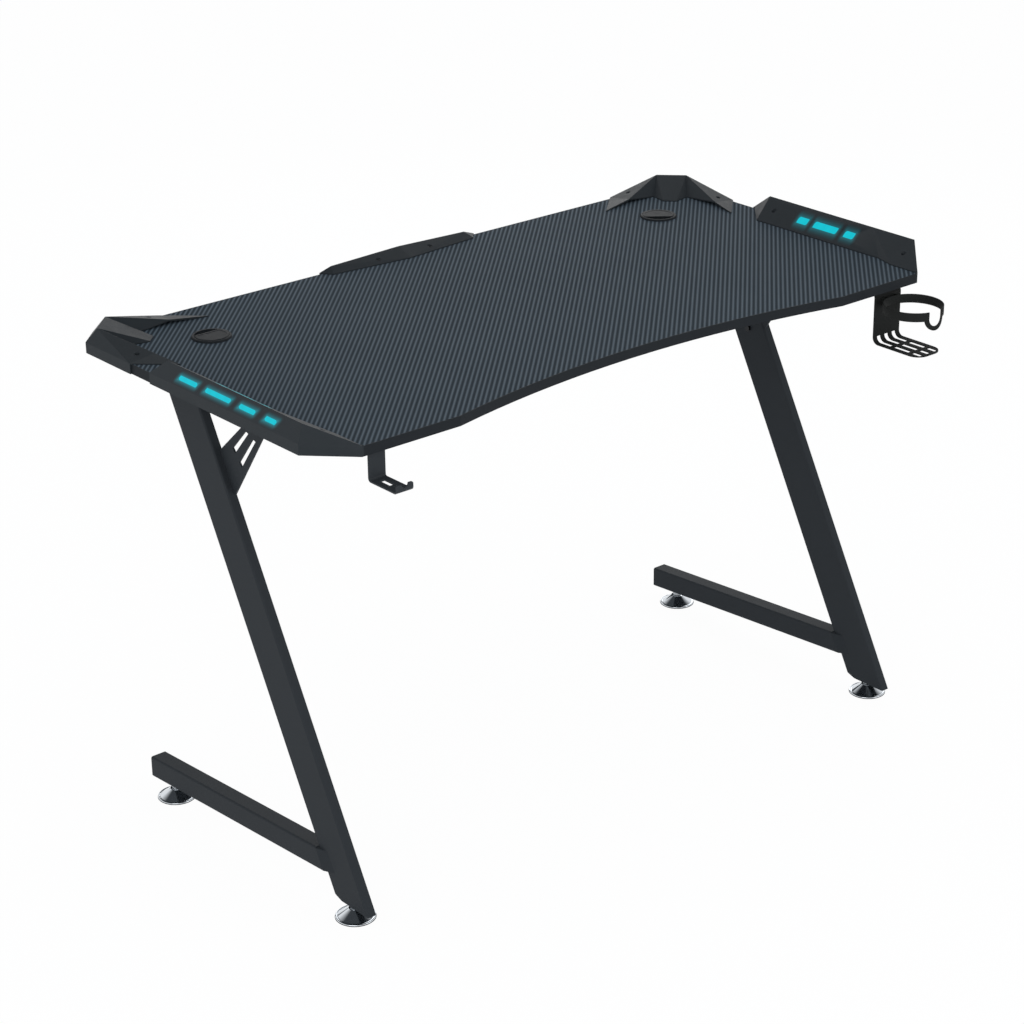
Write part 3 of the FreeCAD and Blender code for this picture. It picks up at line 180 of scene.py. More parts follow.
# Camera of the photo's view
CAMERA_PLACE = (-2.45822, -2.88136, 2.05668)
CAMERA_TURN = (1.1617835, 0.0107762, -0.6982234)
CAMERA_SENSOR = 36.0
CAMERA_LENS = 93.34
CAMERA_FAR = 100.0

# Floor, soft grey light, and reflections that are white low down and fade to dark above
FLOOR_HALF = 9.0
FLOOR_DROP = 0.0003
FLOOR_GLARE = 0.962
SKY_GREY = (0.76, 0.8, 0.84)
MIRROR_DARK = (0.05, 0.055, 0.06)
MIRROR_START = 2.0
MIRROR_FADE = 2.6


def srgb(red, green, blue):
    """Linear colour of a screen colour given in steps of 255."""
    return tuple((c / 255 / 12.92) if c < 10.3 else ((c / 255 + 0.055) / 1.055) ** 2.4
                 for c in (red, green, blue))


def length(name, description, default):
    return FloatProperty(name=name, description=description, default=default, min=0.0, unit="LENGTH",
                         precision=5)


def colour(name, description, *screen):
    return FloatVectorProperty(name=name, description=description, default=srgb(*screen), min=0.0, max=1.0,
                               size=3, subtype="COLOR")


class DeskSizes(bpy.types.PropertyGroup):
    """Sizes that only the dressed desk has."""

    rib_pitch: length("Rib Pitch", "Distance from rib to rib of the laminate", 0.00683)
    rib_depth: length("Rib Depth", "Depth of the grooves between the ribs", 0.0004)
    fibre_pitch: length("Fibre Pitch", "Length of one stitch along a rib", 0.0034)
    grain: length("Grain", "Size of the moulded grain of the plastics", 0.0005)
    peel: length("Peel", "Size of the ripples in the powder coat", 0.0014)
    arris: length("Arris", "Rounding of the moulded edges", 0.0007)
    painted_halo: length("Halo", "How far the light of a window spreads over its housing", 0.0038)
    thread_pitch: length("Thread Pitch", "Pitch of the threads of the levelling feet", 0.00125)


class DeskColours(bpy.types.PropertyGroup):
    """Colours of the finishes."""

    groove: colour("Groove", "Grooves of the laminate", 40, 47, 53)
    rib: colour("Rib", "Ribs of the laminate", 82, 92, 100)
    backing: colour("Backing", "Backing sheet under the board", 38, 40, 43)
    band: colour("Edge Band", "Edge band of the board", 33, 36, 39)
    plastic: colour("Plastic", "Moulded corner caps, light bars and trim", 40, 44, 47)
    glow: colour("Glow", "Light windows", 22, 190, 206)
    coat: colour("Powder Coat", "Steel tubes and plates", 45, 48, 51)
    bracket: colour("Bracket", "Cup holder", 33, 34, 33)
    hook: colour("Hook", "Headphone hook", 50, 53, 56)
    black: colour("Black Plastic", "Plugs, sockets, floor pads and cable sleeves", 29, 32, 35)
    chrome: colour("Chrome", "Cups of the feet", 214, 219, 224)
    zinc: colour("Zinc", "Studs, nuts and bushes of the feet", 168, 172, 176)
    oxide: colour("Black Oxide", "Screws and bolts", 46, 47, 49)
    circuit: colour("Circuit", "Solder mask of the light strips", 222, 226, 222)
    trace: colour("Trace", "Traces on the light strips", 150, 160, 150)
    chip: colour("Chip", "Chips on the light strips", 236, 206, 120)
    floor: colour("Floor", "Studio floor", 246, 246, 247)


class Wire:
    """An output of a node; sums with it add Math nodes."""

    def __init__(self, finish, socket):
        self.finish = finish
        self.socket = socket

    def math(self, operation, *terms):
        return self.finish.node("ShaderNodeMath", {"operation": operation}, dict(enumerate(terms)))

    def __add__(self, other):
        return self.math("ADD", self, other)

    def __radd__(self, other):
        return self.math("ADD", other, self)

    def __sub__(self, other):
        return self.math("SUBTRACT", self, other)

    def __rsub__(self, other):
        return self.math("SUBTRACT", other, self)

    def __mul__(self, other):
        return self.math("MULTIPLY", self, other)

    def __rmul__(self, other):
        return self.math("MULTIPLY", other, self)

    def __truediv__(self, other):
        return self.math("DIVIDE", self, other)

    def __rtruediv__(self, other):
        return self.math("DIVIDE", other, self)

    def __pow__(self, other):
        return self.math("POWER", self, other)

    def __rpow__(self, other):
        return self.math("POWER", other, self)

    def __abs__(self):
        return self.math("ABSOLUTE", self)

    def __gt__(self, other):
        return self.math("GREATER_THAN", self, other)

    def __lt__(self, other):
        return self.math("LESS_THAN", self, other)

    def most(self, other):
        return self.math("MAXIMUM", self, other)

    def least(self, other):
        return self.math("MINIMUM", self, other)

    def cosine(self):
        return self.math("COSINE", self)

    def fraction(self):
        return self.math("FRACT", self)

    def whole(self):
        return self.math("FLOOR", self)


class Graph:
    """The nodes of a material or of the world."""

    def __init__(self, tree):
        self.tree = tree

    def node(self, kind, settings, sockets, output=0):
        """Adds a node; its settings come first, then the values or wires of its sockets."""
        node = self.tree.nodes.new(kind)
        for name, value in settings.items():
            setattr(node, name, value)
        for name, value in sockets.items():
            self.feed(node.inputs[name], value)
        return Wire(self, node.outputs[output])

    def feed(self, socket, value):
        if isinstance(value, Wire):
            self.tree.links.new(value.socket, socket)
        elif socket.type == "RGBA":
            socket.default_value = (*value, 1.0)
        else:
            socket.default_value = value

    def mix(self, share, first, second):
        return self.node("ShaderNodeMix", {"data_type": "RGBA"}, {0: share, 6: first, 7: second}, 2)

    def rays(self):
        """Two switches: for rays from the camera or through glass, and for rays off glossy surfaces."""
        path = self.node("ShaderNodeLightPath", {}, {}).socket.node
        camera, gloss, glass = (Wire(self, path.outputs[name])
                                for name in ("Is Camera Ray", "Is Glossy Ray", "Is Transmission Ray"))
        return camera.most(glass), gloss


class Finish(Graph):
    """A material in the making: its nodes, its shader and the place on the desk."""

    def __init__(self, name, constants):
        self.material = bpy.data.materials.new(name)
        self.material.use_nodes = True
        super().__init__(self.material.node_tree)
        self.shader = self.tree.nodes["Principled BSDF"]
        self.set(constants)
        self.place = self.node("ShaderNodeTexCoord", {}, {}, "Object")
        axes = self.node("ShaderNodeSeparateXYZ", {}, {"Vector": self.place}).socket.node
        self.x, self.y, self.z = (Wire(self, axes.outputs[axis]) for axis in "XYZ")

    def set(self, sockets):
        for name, value in sockets.items():
            self.feed(self.shader.inputs[name], value)

    def noise(self, size, detail=2.0, roughness=0.5, stretch=None):
        place = self.place
        if stretch:
            place = self.node("ShaderNodeVectorMath", {"operation": "MULTIPLY"}, {0: place, 1: stretch})
        return self.node("ShaderNodeTexNoise", {},
                         {"Vector": place, "Scale": 1 / size, "Detail": detail, "Roughness": roughness})

    def shaded(self, tint, share, depth):
        """A colour made darker or lighter round its own value as a share from 0 to 1 says."""
        dark = [c * (1 - depth) for c in tint]
        light = [min(1.0, c * (1 + depth)) for c in tint]
        return self.mix(share, dark, light)

    def bump(self, height, distance, strength):
        self.set({"Normal": self.node("ShaderNodeBump", {}, {"Strength": strength, "Distance": distance,
                                                             "Height": height})})


def colours():
    return bpy.context.scene.desk_colours


def sizes():
    return bpy.context.scene.desk_sizes


def laminate():
    """Dark laminate with fine diagonal ribs on top and a plain backing sheet below."""
    tones = colours()
    finish = Finish("ribbed_laminate", {"Specular IOR Level": 0.01})
    across = (finish.x - finish.y) * (math.sqrt(0.5) / sizes().rib_pitch)
    along = (finish.x + finish.y) * (math.sqrt(0.5) / sizes().fibre_pitch)
    rib = ((across * math.tau).cosine() * 0.5 + 0.5) ** RIB_SHARPNESS
    stitch = abs((along + across.whole() * 0.5).fraction() - 0.5) * 2
    fleck = finish.noise(size=0.0016, detail=3.0)
    cloud = finish.noise(size=0.12)
    share = rib * (0.86 + stitch * 0.14) + (fleck - 0.5) * 0.22 + (cloud - 0.5) * 0.12
    face = finish.mix(share, tones.groove, tones.rib)
    top = finish.z > TOP - RIB_SKIN
    speck = finish.noise(size=0.0025, detail=4.0, roughness=0.7)
    under = finish.shaded(tones.backing, speck, depth=0.25)
    finish.set({"Base Color": finish.mix(top, under, face),
                "Roughness": 0.62 - rib * 0.14 * top + (fleck - 0.5) * 0.1})
    finish.bump(rib * top + fleck * 0.12, distance=sizes().rib_depth, strength=0.7)
    return finish.material


def band():
    """Smooth edge band with faint marks along it."""
    finish = Finish("edge_band_plastic", {"Specular IOR Level": 0.05})
    marks = finish.noise(size=0.004, detail=3.0, roughness=0.6, stretch=(0.15, 0.15, 2.0))
    cloud = finish.noise(size=0.06)
    finish.set({"Base Color": finish.shaded(colours().band, marks * 0.6 + cloud * 0.4, depth=0.16),
                "Roughness": 0.42 + marks * 0.14})
    finish.bump(marks, distance=0.0002, strength=0.25)
    return finish.material


def moulded(name, tint, roughness=0.46):
    """Grained dark plastic, still open to more nodes."""
    finish = Finish(name, {"Specular IOR Level": 0.08})
    grain = finish.noise(sizes().grain, detail=3.0, roughness=0.6)
    cloud = finish.noise(size=0.05, detail=3.0)
    rub = finish.noise(size=0.012, detail=5.0, roughness=0.65)
    finish.set({"Base Color": finish.shaded(tint, cloud * 0.55 + grain * 0.45, depth=0.14),
                "Roughness": roughness + (rub - 0.5) * 0.16 + (grain - 0.5) * 0.08})
    finish.bump(grain, distance=0.0002, strength=0.35)
    return finish


def painted_glow_of(finish, row):
    """How strongly the painted glow of a row of windows lights the plastic: most at a window, 0 far from
    it.
    """
    (row_start, row_stop), shares, height, slant = row
    level = finish.z - (TOP + WINDOW_LOW)
    back = finish.y - FRONT + level * (slant / height) - slant
    rise = (abs(level - height / 2) - height / 2).most(0.0)
    nearest = None
    for start, stop in shares:
        first = BAR_LENGTH * (row_start + start * (row_stop - row_start))
        last = BAR_LENGTH * (row_start + stop * (row_stop - row_start))
        run = (abs(back - (first + last) / 2) - (last - first) / 2).most(0.0)
        far = (run * run + rise * rise) ** 0.5
        light = (math.e ** (far * (-1 / sizes().painted_halo)) - GLOW_FADE).most(0.0)
        nearest = light if nearest is None else nearest.most(light)
    return nearest


def painted_glow_housing():
    """Grained plastic with a painted glow of the windows on it, given as emission."""
    finish = moulded("painted_glow_housing", colours().plastic)
    outer, inner = (painted_glow_of(finish, row) for row in WINDOWS)
    outside = (END - abs(finish.x)) < OUTER_WALL
    # Painted glow: the housing itself emits the window light that spreads over it
    light = outer * outside * OUTER_GLOW + inner * (1 - outside) * INNER_GLOW
    finish.set({"Emission Color": finish.mix(light, (0, 0, 0), colours().glow), "Emission Strength": 1.0})
    return finish.material


def lens():
    """Lit translucent plastic with a soft change of brightness from chip to chip."""
    finish = Finish("lit_lens", {"Roughness": 0.3, "Specular IOR Level": 0.05, "Emission Strength": 1.0})
    chip = abs(((finish.y - FRONT) / CHIP_PITCH).fraction() - 0.5) * 2
    milk = finish.noise(size=0.003)
    share = 0.35 + chip * 0.35 + milk * 0.3
    finish.set({"Base Color": finish.shaded([c * 0.06 for c in colours().glow], milk, depth=0.2),
                "Emission Color": finish.shaded([c * 0.97 for c in colours().glow], share, depth=0.09)})
    return finish.material


def circuit():
    """White circuit strip with traces and amber chips."""
    tones = colours()
    finish = Finish("light_strip", {"Roughness": 0.4})
    trace = abs((finish.z / TRACE_PITCH).fraction() - 0.5) < 0.12
    near = abs(finish.z - (TOP + CHIP_RISE)) < CHIP_HALF
    chip = (abs(END - abs(finish.x) - STRIP_INSET) > STRIP_HALF) * near
    speck = finish.noise(size=0.002, detail=3.0)
    board = finish.mix(trace * 0.4, finish.shaded(tones.circuit, speck, depth=0.08), tones.trace)
    finish.set({"Base Color": finish.mix(chip, board, tones.chip)})
    finish.bump(trace, distance=0.00005, strength=0.4)
    return finish.material


def coat(name, tint, roughness=0.44):
    """Satin powder coat with fine ripples."""
    finish = Finish(name, {"Specular IOR Level": 0.04})
    peel = finish.noise(sizes().peel, roughness=0.55)
    dust = finish.noise(size=0.00045)
    cloud = finish.noise(size=0.09, detail=3.0, roughness=0.6)
    finish.set({"Base Color": finish.shaded(tint, cloud * 0.6 + dust * 0.4, depth=0.12),
                "Roughness": roughness + (cloud - 0.5) * 0.12 + (dust - 0.5) * 0.06})
    finish.bump(peel * 0.7 + dust * 0.3, distance=0.00025, strength=0.3)
    return finish.material


def metal(name, tint, roughness, marks):
    """Bare metal with fine turning marks and a few smears."""
    finish = Finish(name, {"Metallic": 1.0})
    lathe = finish.noise(size=0.0008, detail=3.0, roughness=0.6, stretch=(0.25, 0.25, 3.0))
    smear = finish.noise(size=0.01, detail=4.0, roughness=0.6)
    finish.set({"Base Color": finish.shaded(tint, lathe * 0.4 + smear * 0.6, depth=marks),
                "Roughness": roughness * (0.7 + smear * 0.6)})
    finish.bump(lathe, distance=0.0001, strength=marks)
    return finish.material


def dress(material, *names):
    """Gives CAD nodes a finish."""
    for name in names:
        NODES[name].data.materials.clear()
        NODES[name].data.materials.append(material)


def soften_node(name, width):
    """Rounds the arrises of a CAD node with live modifiers."""
    weld = NODES[name].modifiers.new("join", "WELD")
    weld.merge_threshold = NODE_JOIN
    flat = NODES[name].modifiers.new("flat", "DECIMATE")
    flat.decimate_type = "DISSOLVE"
    flat.angle_limit = math.radians(FLAT_ANGLE)
    bevel = NODES[name].modifiers.new("arris", "BEVEL")
    bevel.width = width
    bevel.segments = 2
    bevel.limit_method = "ANGLE"
    bevel.angle_limit = math.radians(SHARP_ANGLE)
    bevel.use_clamp_overlap = True
    bevel.harden_normals = True


def everything(bm):
    return bm.verts[:] + bm.edges[:] + bm.faces[:]


def verts_of(geom):
    return [item for item in geom if isinstance(item, bmesh.types.BMVert)]


def seat(bm, node):
    """Moves a shape from the origin to the upright axis of a CAD node."""
    low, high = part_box(node)
    centre = (low + high) / 2
    bmesh.ops.translate(bm, verts=bm.verts, vec=(centre.x, centre.y, 0))


def soften(bm, edges, width, segments=2):
    bmesh.ops.bevel(bm, geom=edges, offset=width, segments=segments, profile=0.5, affect="EDGES",
                    material=-1, clamp_overlap=True)


def sharp(bm, angle=SHARP_ANGLE):
    limit = math.radians(angle)
    return [edge for edge in bm.edges if edge.is_manifold and edge.calc_face_angle() > limit]


def turned(bm, profile, steps, closed=False):
    """Turns a profile of radius and height round Z, in a mesh that is still empty."""
    points = [bm.verts.new((radius, 0.0, height)) for radius, height in profile]
    pairs = zip(points, points[1:] + points[:1] if closed else points[1:])
    edges = [bm.edges.new(pair) for pair in pairs]
    bmesh.ops.spin(bm, geom=points + edges, cent=(0, 0, 0), axis=(0, 0, 1), dvec=(0, 0, 0),
                   angle=math.tau, steps=steps, use_merge=True, use_duplicate=False)
    bmesh.ops.remove_doubles(bm, verts=bm.verts, dist=ONE_POINT)


def hexagon(bm, across, low, high):
    """Adds an upright hexagonal block; returns its edges."""
    made = bmesh.ops.create_circle(bm, cap_ends=True, segments=6, radius=across / 2)["verts"]
    bmesh.ops.translate(bm, verts=made, vec=(0, 0, low))
    face = next(face for face in bm.faces if set(face.verts) == set(made))
    raised = verts_of(bmesh.ops.extrude_face_region(bm, geom=[face])["geom"])
    bmesh.ops.translate(bm, verts=raised, vec=(0, 0, high - low))
    return list(dict.fromkeys(edge for vert in made + raised for edge in vert.link_edges))


def copies(bm, places):
    """Repeats the shape of a mesh at each place, and removes the pattern itself."""
    pattern, faces = bm.verts[:], bm.faces[:]
    for place in places:
        fresh = verts_of(bmesh.ops.duplicate(bm, geom=faces)["geom"])
        bmesh.ops.translate(bm, verts=fresh, vec=place)
    bmesh.ops.delete(bm, geom=pattern, context="VERTS")


def add_piece(bm, name, body, material, replaces, smooth=30):
    """Makes a finished mesh a piece of the desk."""
    bmesh.ops.recalc_face_normals(bm, faces=bm.faces)
    mesh = bpy.data.meshes.new(name)
    bm.to_mesh(mesh)
    bm.free()
    mesh.materials.append(material)
    mesh.shade_smooth()
    mesh.set_sharp_from_angle(angle=math.radians(smooth))
    piece = bpy.data.objects.new(name, mesh)
    bpy.context.scene.collection.objects.link(piece)
    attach(piece, body)
    if replaces:
        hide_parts(*replaces)


class DESK_OT_board(bpy.types.Operator):
    """Gives the board its ribbed laminate and its edge band"""

    bl_idname = "desk.board"
    bl_label = "Board"

    def execute(self, context):
        dress(laminate(), "desktop_board")
        dress(band(), "edge_band")
        return {"FINISHED"}


class DESK_OT_plastics(bpy.types.Operator):
    """Gives the corner caps, light bars and back trim their grained plastic and rounded arrises"""

    bl_idname = "desk.plastics"
    bl_label = "Moulded Plastics"

    def execute(self, context):
        plain = ("corner_cap_left", "corner_cap_right", "rear_trim")
        lit = ("light_bar_left", "light_bar_right")
        dress(moulded("grained_plastic", colours().plastic).material, *plain)
        dress(painted_glow_housing(), *lit)
        for name in plain + lit:
            soften_node(name, sizes().arris)
        return {"FINISHED"}


class DESK_OT_lights(bpy.types.Operator):
    """Lights the windows and finishes the circuit strips behind them"""

    bl_idname = "desk.lights"
    bl_label = "Light Windows"

    def execute(self, context):
        dress(lens(), "lens_left", "lens_right")
        dress(circuit(), "led_board_left", "led_board_right")
        return {"FINISHED"}


class DESK_OT_grommets(bpy.types.Operator):
    """Models the cable sleeves and their turning covers"""

    bl_idname = "desk.grommets"
    bl_label = "Cable Grommets"

    def execute(self, context):
        satin = moulded("grommet_plastic", colours().black, roughness=0.52).material
        for side in SIDES:
            self.sleeve(side, satin)
        for side, turn in COVER_TURNS:
            self.cover(side, turn, satin)
        return {"FINISHED"}

    def sleeve(self, side, satin):
        """Flanged tube with a step inside its rim that the cover lies on."""
        node = "grommet_sleeve_" + side
        low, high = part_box(node)
        rim = (high.x - low.x) / 2
        profile = [(SLEEVE_BORE, low.z), (SLEEVE_NECK, low.z), (SLEEVE_NECK, TOP), (rim, TOP),
                   (rim, TOP + RIM_SLOPE), (rim - RIM_SLOPE, high.z), (SLEEVE_SEAT + RIM_LEAD, high.z),
                   (SLEEVE_SEAT, high.z - RIM_LEAD), (SLEEVE_SEAT, TOP + SEAT_RISE),
                   (SLEEVE_BORE, TOP + SEAT_RISE)]
        bm = bmesh.new()
        turned(bm, profile, FINE_STEPS, closed=True)
        soften(bm, [edge for edge in sharp(bm) if edge.verts[0].co.z > TOP + ROUNDED_FROM], SLEEVE_ARRIS)
        seat(bm, node)
        add_piece(bm, "cable_sleeve_" + side, "desk", satin, [node])

    def cover(self, side, turn, satin):
        """Disc with one side cut off, rounded arrises and a shallow dish."""
        node = "grommet_cover_" + side
        low, high = (corner.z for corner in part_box(node))
        bm = bmesh.new()
        bmesh.ops.create_circle(bm, cap_ends=True, segments=FINE_STEPS, radius=COVER_RADIUS)
        bmesh.ops.translate(bm, verts=bm.verts, vec=(0, 0, low))
        bmesh.ops.bisect_plane(bm, geom=everything(bm), dist=ON_CUT, plane_co=(0, COVER_CUT, 0),
                               plane_no=(0, 1, 0), clear_outer=True)
        raised = verts_of(bmesh.ops.extrude_face_region(bm, geom=bm.faces[:])["geom"])
        bmesh.ops.translate(bm, verts=raised, vec=(0, 0, high - low))
        lid = next(face for face in bm.faces if all(abs(v.co.z - high) < LEVEL for v in face.verts))
        soften(bm, list(lid.edges), COVER_ARRIS, 3)
        lid = max((face for face in bm.faces if abs(face.calc_center_median().z - high) < LEVEL),
                  key=lambda face: face.calc_area())
        bmesh.ops.inset_region(bm, faces=[lid], thickness=DISH_MARGIN, use_even_offset=True)
        bmesh.ops.inset_region(bm, faces=[lid], thickness=DISH_SLOPE, depth=-DISH_DEPTH,
                               use_even_offset=True)
        bmesh.ops.rotate(bm, verts=bm.verts, cent=(0, 0, 0),
                         matrix=Matrix.Rotation(math.radians(turn), 3, "Z"))
        seat(bm, "grommet_sleeve_" + side)
        add_piece(bm, "cable_cover_" + side, "cover_" + side, satin, [node])


class DESK_OT_frame(bpy.types.Operator):
    """Gives the steel frame its powder coat, dressed welds and plugs"""

    bl_idname = "desk.frame"
    bl_label = "Steel Frame"

    def execute(self, context):
        satin = coat("powder_coat", colours().coat)
        for part in ("leg", "base_bar", "top_bar", "gusset"):
            dress(satin, *[part + "_" + side for side in SIDES])
        dress(satin, "front_beam", "rear_beam", "beam_plates")
        self.fairings(satin)
        black = moulded("plug_plastic", colours().black, roughness=0.5).material
        dress(black, "base_plug_left", "base_plug_right", "leg_plug_left", "leg_plug_right", "top_plugs")
        dress(metal("bush_steel", colours().zinc, roughness=0.4, marks=0.1), "foot_bushes")
        return {"FINISHED"}

    def fairings(self, satin):
        """Dressed welds that run from the sides of the base bars to those of the narrower legs."""
        inner, outer = (corner.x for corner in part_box("leg_right"))
        start = outer - WELD_ROOT
        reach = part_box("base_bar_right")[1].x - start
        rise = WELD_HIGH - WELD_LOW
        bm = bmesh.new()
        bmesh.ops.create_cube(bm, size=1.0)
        bmesh.ops.translate(bm, verts=bm.verts, vec=(0.5, 0.5, 0.5))
        bmesh.ops.bisect_plane(bm, geom=everything(bm), dist=ON_CUT, plane_co=(1, 0, 0),
                               plane_no=(1, 1, 0), clear_outer=True)
        bmesh.ops.holes_fill(bm, edges=[edge for edge in bm.edges if edge.is_boundary])
        spread = Matrix(((reach, 0, 0, start),
                         (0, WELD_AHEAD.y, rise.y, WELD_LOW.y),
                         (0, WELD_AHEAD.z, rise.z, WELD_LOW.z),
                         (0, 0, 0, 1)))
        bmesh.ops.transform(bm, matrix=spread, verts=bm.verts)
        bmesh.ops.recalc_face_normals(bm, faces=bm.faces)
        slanted = [edge for edge in sharp(bm) if abs(edge.verts[0].co.x - edge.verts[1].co.x) > WELD_ROOT
                   and abs(edge.verts[0].co.y - edge.verts[1].co.y) > WELD_ROOT]
        soften(bm, slanted, WELD_ROUND, 4)
        for centre in ((inner + outer) / 2, 0.0):
            fresh = verts_of(bmesh.ops.duplicate(bm, geom=everything(bm))["geom"])
            across = Matrix.Translation((centre, 0, 0)) @ Matrix.Diagonal((-1, 1, 1, 1))
            bmesh.ops.transform(bm, matrix=across @ Matrix.Translation((-centre, 0, 0)), verts=fresh)
        add_piece(bm, "weld_fairings", "desk", satin, [])


class DESK_OT_feet(bpy.types.Operator):
    """Models the chrome cups, the dark floor pads that also stand in for the contact shadow under the rims,
    the threaded studs and nuts of the levelling feet
    """

    bl_idname = "desk.feet"
    bl_label = "Levelling Feet"

    def execute(self, context):
        chrome = metal("chrome", colours().chrome, roughness=0.1, marks=0.04)
        zinc = metal("zinc_plate", colours().zinc, roughness=0.34, marks=0.12)
        # Black pad: a pad under the cup, and also painted shade that gives the dark contact line under the
        # rim
        rubber = moulded("pad_rubber_and_contact_shadow", colours().black, roughness=0.7).material
        for end in ENDS:
            for side in SIDES:
                place = end + "_" + side
                self.cup(place, chrome)
                self.pad(place, rubber)
                self.stud(place, zinc)
        return {"FINISHED"}

    def cup(self, place, chrome):
        """Cone with a rolled rim and a bore for the stud."""
        node = "foot_cup_" + place
        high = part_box(node)[1].z
        bm = bmesh.new()
        turned(bm, [*CUP_RIM, (CUP_NECK, high), (CUP_BORE, high), (CUP_BORE, CUP_FLOOR), (0, CUP_FLOOR)],
               FINE_STEPS)
        outer = [edge for edge in sharp(bm, CUP_SHARP) if edge.verts[0].co.xy.length > CUP_PLAIN]
        soften(bm, outer, CUP_ARRIS)
        seat(bm, node)
        add_piece(bm, "chrome_cup_" + place, "foot_" + place, chrome, [node], smooth=40)

    def pad(self, place, rubber):
        """Thin dark pad between the cup and the floor; it also stands in for the contact shadow under the
        rim.
        """
        bm = bmesh.new()
        turned(bm, PAD_OUTLINE, FINE_STEPS)
        seat(bm, "foot_cup_" + place)
        add_piece(bm, "floor_pad_and_shadow_" + place, "foot_" + place, rubber, [])

    def stud(self, place, zinc):
        """Threaded stud with its nut over the cup."""
        node = "foot_stud_" + place
        low, high = (corner.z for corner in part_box(node))
        pitch = sizes().thread_pitch
        profile = [(0, low), (STUD_FOOT, low), (STUD_RADIUS, low + STUD_CHAMFER)]
        level = THREAD_LOW
        while level < high - 2 * pitch:
            profile += [(THREAD_ROOT, level), (THREAD_CREST, level + pitch / 2)]
            level += pitch
        profile += [(THREAD_ROOT, level), (STUD_TIP, high), (0, high)]
        bm = bmesh.new()
        turned(bm, profile, COARSE_STEPS)
        soften(bm, hexagon(bm, NUT_WIDTH, NUT_LOW, NUT_HIGH), NUT_ARRIS)
        seat(bm, node)
        add_piece(bm, "levelling_stud_" + place, "foot_" + place, zinc, [node])


class DESK_OT_fasteners(bpy.types.Operator):
    """Models the screws with a hexagon socket and finishes the bolts"""

    bl_idname = "desk.fasteners"
    bl_label = "Fasteners"

    def execute(self, context):
        black = metal("black_oxide", colours().oxide, roughness=0.42, marks=0.15)
        for node, upward in (("cap_screws", False), ("bar_screws", False), ("trim_screws", False),
                             ("board_screws", True), ("hook_screws", True), ("holder_screws", True)):
            self.screws(node, upward, black)
        dress(black, "beam_bolts", "leg_bolts")
        return {"FINISHED"}

    def screws(self, node, upward, black):
        """Finds each head of a node and puts a detailed screw there."""
        low, high = (corner.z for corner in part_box(node))
        level = low if upward else high
        cells = {}
        for vert in NODES[node].data.vertices:
            if abs(vert.co.z - level) < LEVEL:
                cell = (round(vert.co.x / HEAD_CELL), round(vert.co.y / HEAD_CELL))
                cells.setdefault(cell, []).append(vert.co)
        heads = []
        for spots in cells.values():
            spot = sum(spots, Vector()) / len(spots)
            head = next((head for head in heads if (head[0] - spot).length < HEAD_NEAR), None)
            if head:
                head[1].extend(spots)
            else:
                heads.append((spot, list(spots)))
        places = []
        for _, spots in heads:
            xs = [co.x for co in spots]
            ys = [co.y for co in spots]
            places.append(Vector(((min(xs) + max(xs)) / 2, (min(ys) + max(ys)) / 2, level)))
        bm = bmesh.new()
        self.screw(bm, high - low)
        if upward:
            bmesh.ops.rotate(bm, verts=bm.verts, cent=(0, 0, 0), matrix=Matrix.Rotation(math.pi, 3, "X"))
        copies(bm, places)
        add_piece(bm, node + "_dressed", "desk", black, [node])

    def screw(self, bm, whole):
        """A pan-head screw that points down, its head's top at the origin."""
        turned(bm, [*HEAD_TOP, (HEAD_RADIUS, -HEAD_DEPTH), (SHANK_RADIUS, -HEAD_DEPTH),
                    (POINT_RADIUS, POINT_LENGTH - whole), (0, -whole)], COARSE_STEPS)
        rim = [edge for edge in bm.edges if edge.is_boundary]
        drive = bmesh.ops.create_circle(bm, cap_ends=False, segments=6, radius=SOCKET_RADIUS)["verts"]
        bmesh.ops.translate(bm, verts=drive, vec=(0, 0, -SOCKET_TOP))
        ring = [edge for edge in bm.edges if edge.verts[0] in drive and edge.verts[1] in drive]
        bmesh.ops.bridge_loops(bm, edges=rim + ring)
        floor = verts_of(bmesh.ops.extrude_edge_only(bm, edges=ring)["geom"])
        bmesh.ops.translate(bm, verts=floor, vec=(0, 0, -SOCKET_DEPTH))
        bmesh.ops.contextual_create(bm, geom=floor)


class DESK_OT_brackets(bpy.types.Operator):
    """Finishes the headphone hook and the cup holder"""

    bl_idname = "desk.brackets"
    bl_label = "Hook and Cup Holder"

    def execute(self, context):
        dress(coat("hook_coat", colours().hook, roughness=0.4), "headphone_hook")
        dress(coat("holder_coat", colours().bracket, roughness=0.6), "cup_holder", "cup_ring")
        for name in ("headphone_hook", "cup_holder", "cup_ring"):
            soften_node(name, BRACKET_ARRIS)
        return {"FINISHED"}


class DESK_OT_sockets(bpy.types.Operator):
    """Finishes the inlets of the light bars"""

    bl_idname = "desk.sockets"
    bl_label = "Power Sockets"

    def execute(self, context):
        dress(moulded("socket_plastic", colours().black, roughness=0.5).material, "power_sockets")
        soften_node("power_sockets", SOCKET_ARRIS)
        return {"FINISHED"}


